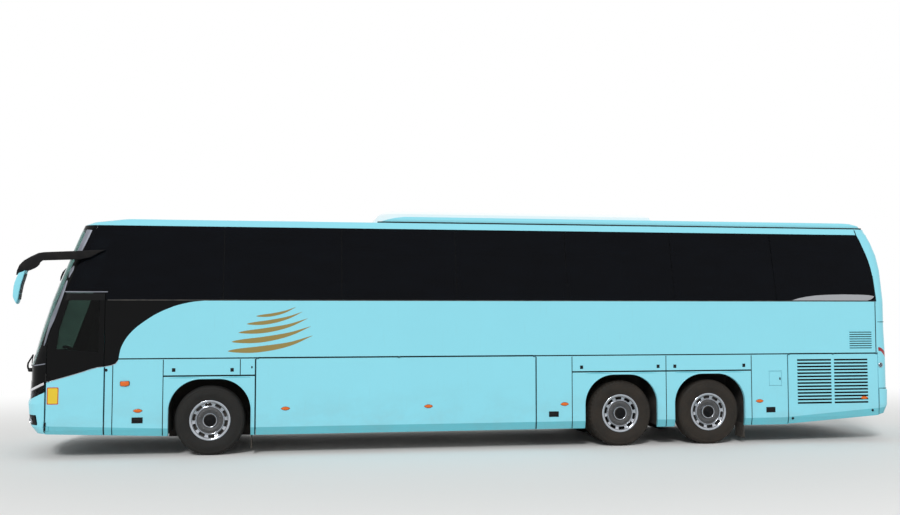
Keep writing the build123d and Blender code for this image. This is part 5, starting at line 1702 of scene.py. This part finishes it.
# sections across a head: Y, then shares of its depth and height
headAcross = (
    (1.290, 0.50, 0.945), (1.294, 0.66, 0.965), (1.304, 0.80, 0.980), (1.324, 0.92, 0.993),
    (1.352, 0.99, 1.0), (1.385, 1.0, 1.0), (1.415, 0.98, 0.998), (1.440, 0.90, 0.988),
    (1.456, 0.78, 0.975), (1.466, 0.64, 0.960), (1.470, 0.50, 0.945),
)


def headBackX(z):
    for (x0, z0), (x1, z1) in zip(headRear, headRear[1:]):
        if z <= z1:
            break
    return x0 + (x1 - x0) * max(0, z - z0) / max(z1 - z0, 0.001)


shape = bmesh.new()
for side, hand in sides:
    loft(shape, [[
        (headBackX(z) + (x - headBackX(z)) * depth, side * y, headTop - (headTop - z) * reach)
        for x, z in headOutline
    ] for y, depth, reach in headAcross])
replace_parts(makePiece("mirror-head-shells", shape, aquaBody, sharp=50), "mirror_heads")

mirrorGlass = solidFinish("mirrorGlass", {
    "colour": (0.22, 0.23, 0.25), "roughness": 0.02, "roughSpread": 0.02, "metal": 1.0, "darker": 0.97,
    "dust": 0.03,
})
paneLook = {
    # rear edge of a head from its foot up; the glass is in two panes, a small one below
    "edge": ((6.9135, 2.322), (6.910, 2.332), (6.897, 2.429), (6.877, 2.542), (6.848, 2.639), (6.829, 2.715)),
    "split": 2.415, "near": 1.290, "far": 1.440, "steps": 8,
    "frame": (0.010, -0.006, 0.004),          # inset, then foot and top over the head's face
    "glass": (0.018, 0.003, 0.0065),
}
paneEdge = [Vector((x, 0, z)) for x, z in paneLook["edge"]]


def paneAt(z):
    for a, b in zip(paneEdge, paneEdge[1:]):
        if z <= b.z:
            break
    way = (b - a).normalized()
    return a.lerp(b, (z - a.z) / (b.z - a.z)), Vector((-way.z, 0, way.x))


def mirrorPanes(shape, side, look, inset, low, high):
    y0, y1 = side * (look["near"] + inset), side * (look["far"] - inset)
    spans = (
        (paneEdge[0].z + inset, look["split"]), (look["split"] + inset * 0.6, paneEdge[-1].z - inset),
    )
    for foot, top in spans:
        loops = []
        for i in range(look["steps"] + 1):
            place, out = paneAt(foot + (top - foot) * i / look["steps"])
            loops.append([
                place + out * h + Vector((0, y, 0)) for y, h in ((y0, low), (y0, high), (y1, high), (y1, low))
            ])
        loft(shape, loops)


for side, hand in sides:
    frameShape, glassShape = bmesh.new(), bmesh.new()
    mirrorPanes(frameShape, side, paneLook, *paneLook["frame"])
    mirrorPanes(glassShape, side, paneLook, *paneLook["glass"])
    makePiece(f"{hand}-mirror-frame", frameShape, trimBlack)
    makePiece(f"{hand}-mirror-glass", glassShape, mirrorGlass)

# thin grey strip under the windscreen, with a short run on each side
shape = bmesh.new()
layStrip(shape, ((-1.02, 1.352), (1.02, 1.352)), 0.016, 0.005, nose, roundSection, step=0.06)
for side, hand in sides:
    layStrip(shape, ((6.725, 1.366), (6.560, 1.392)), 0.016, 0.005, ("side", side), roundSection, step=0.04)
makePiece("screen-foot-strip", shape, greyTrimAndPillarHighlight)

# wipers: a blade and a bowed arm on each side
wiperLook = {
    "bladeY": (0.16, 0.50, 0.94), "bladeZ": 1.358, "spindle": (0.870, 1.285),
    # Y, Z and distance out from the screen
    "bow": (
        (0.870, 1.285, 0.034), (0.868, 1.312, 0.052), (0.862, 1.345, 0.060), (0.852, 1.385, 0.056),
        (0.838, 1.430, 0.044), (0.815, 1.475, 0.030), (0.780, 1.500, 0.024), (0.735, 1.500, 0.022),
        (0.680, 1.470, 0.020), (0.620, 1.420, 0.018), (0.560, 1.362, 0.014),
    ),
    "thick": 0.021, "taper": 0.012, "flat": 0.7,
    "boss": ((0.030, -0.004), (0.030, 0.030), (0.024, 0.048), (0.012, 0.052)),
}


def wiperArm(shape, side, look):
    ahead = Vector((1, 0, 0))
    path = [endAt(side * y, z, 1)[0] + ahead * out for y, z, out in look["bow"]]
    last = len(path) - 1
    loops = []
    for i, place in enumerate(path):
        way = (path[min(i + 1, last)] - path[max(i - 1, 0)]).normalized()
        across = way.cross(ahead).normalized()
        over = across.cross(way).normalized()
        half = look["thick"] - look["taper"] * i / last
        loops.append([
            place + across * (half * math.cos(a)) + over * (look["flat"] * half * math.sin(a))
            for a in [math.pi * k / 5 for k in range(10)]
        ])
    loft(shape, loops)


shape = bmesh.new()
for side, hand in sides:
    blade = [(side * y, wiperLook["bladeZ"]) for y in wiperLook["bladeY"]]
    layStrip(shape, blade, 0.010, 0.007, nose, roundSection, step=0.05, lift=0.002)
    point, _ = endAt(side * wiperLook["spindle"][0], wiperLook["spindle"][1], 1)
    knob(shape, point, Vector((1, 0, 0)), wiperLook["boss"], 24)
    wiperArm(shape, side, wiperLook)
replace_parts(makePiece("wiper-arms-and-blades", shape, trimBlack), "wipers")

# black sleeves over the knuckles of the driver's door hinges, each half on its own body
hinge = {
    "place": (6.544, 1.285),
    "feet": {"driver_door": (0.4205, 1.1305), "coach": (0.4815, 1.1915)},
    "profile": ((0.0093, 0.0), (0.0099, 0.001), (0.0099, 0.057), (0.0093, 0.058)),
}
for body, feet in hinge["feet"].items():
    sleeves = [(Vector((*hinge["place"], z)), Vector((0, 0, 1))) for z in feet]
    knobPiece(f"hinge-sleeves-{body}", sleeves, hinge["profile"], 24, trimBlack, body)
print("front dressed")

# seats: a crowned cushion and a ribbed back made once, swollen by cloth, then set out in rows
seatLook = {
    "rows": 14,
    "first": 4.400,
    "pitch": 0.780,
    "floor": 1.450,
    "inner": 0.250,
    "outer": 1.145,
    "fill": 0.85,
    "cushion": (0.440, 0.425, 0.100),     # front to back, across, thick
    "back": (0.095, 0.425, 0.700),
    "lean": -9,
    "driver": (5.960, 0.620, 0.830),
    "driverWider": 1.1,
    # how far the pads lie behind the seat's own place and over the floor
    "cushionAt": (0.205, 0.385), "backAt": (0.448, 0.770), "headAt": (0.500, 1.078),
    "headSize": (0.72, 0.62, 0.17),        # shares of a back's size
}
# blocks of the frames: rear and front, both behind the seat's place, foot, top and rounding
seatFrame = {
    "pan": (0.455, 0.030, 0.300, 0.336, 0.012), "panInset": 0.02,
    "leg": (0.315, 0.165, 0.001, 0.305, 0.008), "legInset": 0.10,
    "armrest": (0.400, 0.140, 0.560, 0.598, 0.012), "armInset": 0.022, "half": 0.020,
    "driverFoot": (0.400, 0.090, 0.001, 0.325, 0.03), "driverHalf": 0.20,
}
padLook = {
    "undersize": 0.94, "cuts": 9, "crown": 0.18, "pull": 0.05, "thickness": 0.72,
    "roundFrom": 0.72, "rounding": 0.38, "frames": 16, "pressure": 3.0, "stiffness": 25, "mostSwell": 0.012,
    "channelDepth": 0.006, "channelWidth": 0.16,
}


def thinWay(size):
    return min(range(3), key=lambda k: size[k])


def padCells(size, look):
    shape = bmesh.new()
    bmesh.ops.create_cube(shape, size=1.0)
    bmesh.ops.subdivide_edges(shape, edges=shape.edges[:], cuts=look["cuts"], use_grid_fill=True)
    half = [s / 2 for s in size]
    thin = thinWay(size)
    first, second = [k for k in range(3) if k != thin]
    for vert in shape.verts:
        u = [c * 2 for c in vert.co]
        a, b = u[first], u[second]
        pull = 1 - look["pull"] * (1 - a ** 2) * (abs(b) > 0.99)
        pull -= look["pull"] * (1 - b ** 2) * (abs(a) > 0.99)
        swell = look["crown"] * (1 - abs(a) ** 4) * (1 - abs(b) ** 4)
        edge = max(0.0, (max(abs(a), abs(b)) - look["roundFrom"]) / (1 - look["roundFrom"]))
        rounded = 1 - look["rounding"] * edge ** 2
        vert.co[first] = a * half[first] * pull
        vert.co[second] = b * half[second] * pull
        vert.co[thin] = u[thin] * half[thin] * (look["thickness"] * rounded + swell)
    return shape


# the pad's points after cloth has swollen it a little, and its faces
def swellPad(size, look):
    shape = padCells([s * look["undersize"] for s in size], look)
    mesh = bpy.data.meshes.new("padStart")
    shape.to_mesh(mesh)
    shape.free()
    pad = bpy.data.objects.new("padStart", mesh)
    bpy.context.scene.collection.objects.link(pad)
    cloth = pad.modifiers.new("swell", "CLOTH")
    cloth.settings.use_pressure = True
    cloth.settings.uniform_pressure_force = look["pressure"]
    cloth.settings.effector_weights.gravity = 0
    cloth.settings.tension_stiffness = look["stiffness"]
    for step in range(1, look["frames"] + 1):
        bpy.context.scene.frame_set(step)
    graph = bpy.context.evaluated_depsgraph_get()
    swollen = bpy.data.meshes.new_from_object(pad.evaluated_get(graph))
    points = []
    for start, vert in zip(mesh.vertices, swollen.vertices):
        move = vert.co - start.co
        if move.length > look["mostSwell"]:
            move = move.normalized() * look["mostSwell"]
        points.append(start.co + move)
    faces = [tuple(poly.vertices) for poly in mesh.polygons]
    bpy.data.objects.remove(pad)
    bpy.context.scene.frame_set(1)
    return points, faces


def sewChannels(points, size, axis, count, look):
    thin = thinWay(size)
    sewn = []
    for point in points:
        share = (point[axis] / size[axis] + 0.5) * count
        pinch = 0
        if 0 < round(share) < count:
            pinch = look["channelDepth"] * math.exp(-(abs(share - round(share)) / look["channelWidth"]) ** 2)
        moved = point.copy()
        moved[thin] -= math.copysign(pinch, point[thin])
        sewn.append(moved)
    return sewn


cushionPoints, cushionFaces = swellPad(seatLook["cushion"], padLook)
backPoints, backFaces = swellPad(seatLook["back"], padLook)
cushionPoints = sewChannels(cushionPoints, seatLook["cushion"], 1, 3, padLook)
backPoints = sewChannels(backPoints, seatLook["back"], 2, 5, padLook)


def setPad(shape, points, faces, place):
    fresh = [shape.verts.new(place @ point) for point in points]
    for face in faces:
        shape.faces.new([fresh[i] for i in face])


cushions, backs, heads, shells = bmesh.new(), bmesh.new(), bmesh.new(), bmesh.new()


def seatAt(x, y, floor, wider=1.0):
    wide = Matrix.Diagonal((1, wider, 1, 1))
    deep, across, tall = seatLook["headSize"]
    small = Matrix.Diagonal((deep, across * wider, tall, 1))
    lean = Matrix.Rotation(math.radians(seatLook["lean"]), 4, "Y")
    for shape, points, faces, (back, up), turn in (
        (cushions, cushionPoints, cushionFaces, seatLook["cushionAt"], wide),
        (backs, backPoints, backFaces, seatLook["backAt"], lean @ wide),
        (heads, backPoints, backFaces, seatLook["headAt"], lean @ small),
    ):
        setPad(shape, points, faces, Matrix.Translation((x - back, y, floor + up)) @ turn)


def frameBlock(name, x, y0, y1, floor):
    rear, front, low, high, radius = seatFrame[name]
    roundedBox(shells, (x - rear, y0, floor + low), (x - front, y1, floor + high), radius)


for side, hand in sides:
    inner, outer, floor = seatLook["inner"], seatLook["outer"], seatLook["floor"]
    width = (outer - inner) / 2
    for row in range(seatLook["rows"]):
        x = seatLook["first"] - seatLook["pitch"] * row
        for place in (0, 1):
            seatAt(x, side * (inner + width * (place + 0.5)), floor)
        low, high = sorted((side * (inner + seatFrame["panInset"]), side * (outer - seatFrame["panInset"])))
        frameBlock("pan", x, low, high, floor)
        half = seatFrame["half"]
        for y in (low + seatFrame["legInset"], high - seatFrame["legInset"]):
            frameBlock("leg", x, y - half, y + half, floor)
        aisle = side * (inner + seatFrame["armInset"])
        frameBlock("armrest", x, aisle - half, aisle + half, floor)
x, y, floor = seatLook["driver"]
seatAt(x, y, floor, seatLook["driverWider"])
frameBlock("driverFoot", x, y - seatFrame["driverHalf"], y + seatFrame["driverHalf"], floor)
seatCushions = makePiece("seat-cushions", cushions, seatCloth, sharp=60)
seatBacks = makePiece("seat-backs", backs, seatCloth, sharp=60)
seatHeads = makePiece("seat-headrests", heads, seatTrim, sharp=60)
makePiece("seat-frames", shells, cabinGrey)
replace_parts(seatCushions, "seats")
print("seats set out")

# overhead racks: X of the run's stations, Y and Z round the section
racks = {
    "x": (4.50, 1.0, -2.6, -6.35),
    "section": (
        (1.010, 3.175), (0.640, 3.120), (0.600, 3.135), (0.590, 3.190), (0.615, 3.250), (0.655, 3.262),
        (0.700, 3.205), (0.980, 3.225),
    ),
}
shape = bmesh.new()
for side, hand in sides:
    bar(shape, racks["x"], side, racks["section"])
makePiece("overhead-racks", shape, cabinGrey)

# dashboard hood and switches; the steering wheel and its column stay
hood = {"low": (6.345, 0.400, 1.400), "high": (6.560, 0.840, 1.470), "rounding": 0.028}
switches = {
    "count": 7, "first": -0.20, "pitch": 0.055, "width": 0.035,
    "rear": 6.352, "front": 6.362, "foot": 1.345, "top": 1.375, "rounding": 0.003,
}
shape = bmesh.new()
roundedBox(shape, hood["low"], hood["high"], hood["rounding"], 4)
for i in range(switches["count"]):
    y = switches["first"] + switches["pitch"] * i
    corner = (switches["rear"], y, switches["foot"])
    opposite = (switches["front"], y + switches["width"], switches["top"])
    roundedBox(shape, corner, opposite, switches["rounding"])
makePiece("dash-hood", shape, cabinGrey)
print("cabin dressed")

# rear: vent slats on the lid, blank plate in its holder, handle, window seal, lamps and reflectors
tail = ("end", -1)
lidVent = {"half": 0.60, "slats": 9, "firstSlat": 1.000, "firstGap": 0.976, "pitch": 0.048}
slatLevels = [lidVent["firstSlat"] + lidVent["pitch"] * i for i in range(lidVent["slats"])]
gapLevels = [lidVent["firstGap"] + lidVent["pitch"] * i for i in range(lidVent["slats"] + 1)]
stripPiece(
    "lid-vent-slats", acrossAt(lidVent["half"], *slatLevels), 0.030, 0.010, tail, aquaBody, "body_paint",
    "engine_lid", section=roundSection, step=0.15,
)
# dark strips between the lid's slats: painted shade in the vent's gaps
stripPiece(
    "lid-vent-gap-shade", acrossAt(lidVent["half"], *gapLevels), 0.016, 0.0015, tail, jointShadow, "frame_black",
    "engine_lid", step=0.15,
)
stripPiece(
    "rear-blank-plate", acrossAt(0.265, 1.600), 0.125, 0.006, tail, unitWhite, "roof_white", "engine_lid",
    step=0.08,
)
shape = bmesh.new()
for line in acrossAt(0.275, 1.530, 1.670):
    layStrip(shape, line, 0.011, 0.010, tail, roundSection, step=0.08)
layStrip(shape, *acrossAt(0.16, 1.735), 0.026, 0.018, tail, roundSection, step=0.05)
makePiece("lid-handle-and-plate-holder", shape, trimBlack, "engine_lid")

rearWindow = {"half": 0.860, "foot": 2.240, "top": 3.300, "corner": 0.05, "seal": 0.026, "sealHeight": 0.008}
half, corner = rearWindow["half"], rearWindow["corner"]
windowEdge = cutRectangle(-half, half, rearWindow["foot"], rearWindow["top"], corner)
stripPiece(
    "rear-window-seal", aroundCorners(windowEdge), rearWindow["seal"], rearWindow["sealHeight"], tail,
    sealRubber, "trim_plastic", section=roundSection, step=0.08,
)

tailLamps = {
    "places": ((1.062, 1.392), (1.070, 1.308), (1.076, 1.224)),       # Y and Z
    "ring": ((0.046, -0.004), (0.047, 0.004), (0.043, 0.007), (0.039, 0.004)),
    "dome": ((0.039, 0.0), (0.038, 0.004), (0.030, 0.008), (0.014, 0.0095)),
    # the wedge reaches forward on the side, X and Z
    "tip": (
        (-6.719, 1.499), (-6.717, 1.556), (-6.745, 1.554), (-6.768, 1.548), (-6.768, 1.489), (-6.745, 1.494),
    ),
}
sideLamp = {
    "place": (-6.752, 1.259),
    "ring": ((0.042, -0.002), (0.043, 0.006), (0.038, 0.011), (0.032, 0.008)),
    "lens": ((0.034, 0.002), (0.033, 0.009), (0.022, 0.013), (0.008, 0.0145)),
}
backwards = Vector((-1, 0, 0))
seats = [(endAt(side * y, z, -1)[0], backwards) for side, hand in sides for y, z in tailLamps["places"]]
knobPiece("tail-lamp-rings", seats, tailLamps["ring"], 28, silverTrim)
knobPiece("tail-lamp-domes", seats, tailLamps["dome"], 28, redGlass)
for side, hand in sides:
    seat = skinAt(*sideLamp["place"], side)
    knobPiece(f"{hand}-rear-side-lamp-ring", [seat], sideLamp["ring"], 26, silverTrim)
    knobPiece(f"{hand}-rear-side-lamp", [seat], sideLamp["lens"], 26, smokedLens)
    shape = bmesh.new()
    layFilm(shape, tailLamps["tip"], 0.003, side, 0.02)
    makePiece(f"{hand}-tail-lamp-tip", shape, redGlass)

reflectors = [((side * 0.62, 0.560), (side * 0.90, 0.560)) for side, hand in sides]
stripPiece("rear-reflectors", reflectors, 0.050, 0.007, tail, redGlass, "red_lens", step=0.05)
stripPiece(
    "rear-bumper-rub-strip", acrossAt(0.95, 0.815), 0.030, 0.007, tail, trimBlack,
    section=roundSection, step=0.08,
)
stripPiece(
    "rear-bumper-seam", acrossAt(1.10, 0.867), 0.010, 0.0012, tail, jointShadow, "frame_black", step=0.08,
)
print("rear dressed")

# roof: fans and lid seams of the unit, two hatches, seams across the shell
fans = {
    "x": (1.05, 0.25, -1.45, -2.25), "radius": 0.235,
    # share of the radius and height
    "well": (
        (1.0, -0.010), (1.0, -0.003), (0.97, -0.001), (0.95, -0.008),
        (0.3, -0.008), (0.28, -0.002), (0.1, -0.001),
    ),
    "rings": 5, "firstRing": 0.30, "ringPitch": 0.15, "ringHalf": 0.005,
}
unitSeams = {"x": (1.446, 0.65, -0.60, -1.85), "half": 0.63, "steps": 12, "width": 0.008, "height": 0.002}
roofSeams = {"x": (5.504, 4.00, 2.40, -3.60, -4.90, -6.100), "half": 0.97, "width": 0.006, "height": 0.0012}
unitTree = treeOf(("air_unit",))
wells, guards, up = bmesh.new(), bmesh.new(), Vector((0, 0, 1))
for x in fans["x"]:
    point, _ = topAt(x, 0, unitTree)
    knob(wells, point, up, [(fans["radius"] * share, height) for share, height in fans["well"]], 40)
    for ring in range(fans["rings"]):
        middle = fans["radius"] * (fans["firstRing"] + fans["ringPitch"] * ring)
        outer, inner = middle + fans["ringHalf"], middle - fans["ringHalf"]
        knob(guards, point, up, ((outer, -0.006), (outer, -0.001), (inner, -0.001), (inner, -0.006)), 40)
makePiece("fan-wells", wells, trimBlack)
makePiece("fan-guards", guards, silverTrim)

shape = bmesh.new()
for x in unitSeams["x"]:
    out, low = unitSeams["width"] / 2, -unitSeams["height"]
    loops = []
    for i in range(unitSeams["steps"] + 1):
        point, _ = topAt(x, unitSeams["half"] * (2 * i / unitSeams["steps"] - 1), unitTree)
        loops.append([point + Vector(d) for d in ((-out, 0, low), (-out, 0, 0), (out, 0, 0), (out, 0, low))])
    loft(shape, loops)
makePiece("unit-lid-seams", shape, jointShadow)

seamLines = [((x, -roofSeams["half"]), (x, roofSeams["half"])) for x in roofSeams["x"]]
stripPiece(
    "roof-seams", seamLines, roofSeams["width"], roofSeams["height"], ("top", 1), jointShadow, "frame_black",
    step=0.08,
)
# each hatch is a lid on a frame: half along, half across, foot, top, rounding
hatch = {
    "x": (3.10, -4.25), "frame": (0.36, 0.34, -0.002, 0.038, 0.022), "lid": (0.30, 0.28, 0.030, 0.048, 0.012),
}
shape = bmesh.new()
for x in hatch["x"]:
    base = topAt(x, 0)[0].z
    for along, across, low, high, radius in (hatch["frame"], hatch["lid"]):
        roundedBox(shape, (x - along, -across, base + low), (x + along, across, base + high), radius, 3)
makePiece("roof-hatches", shape, unitWhite)
print("roof dressed")
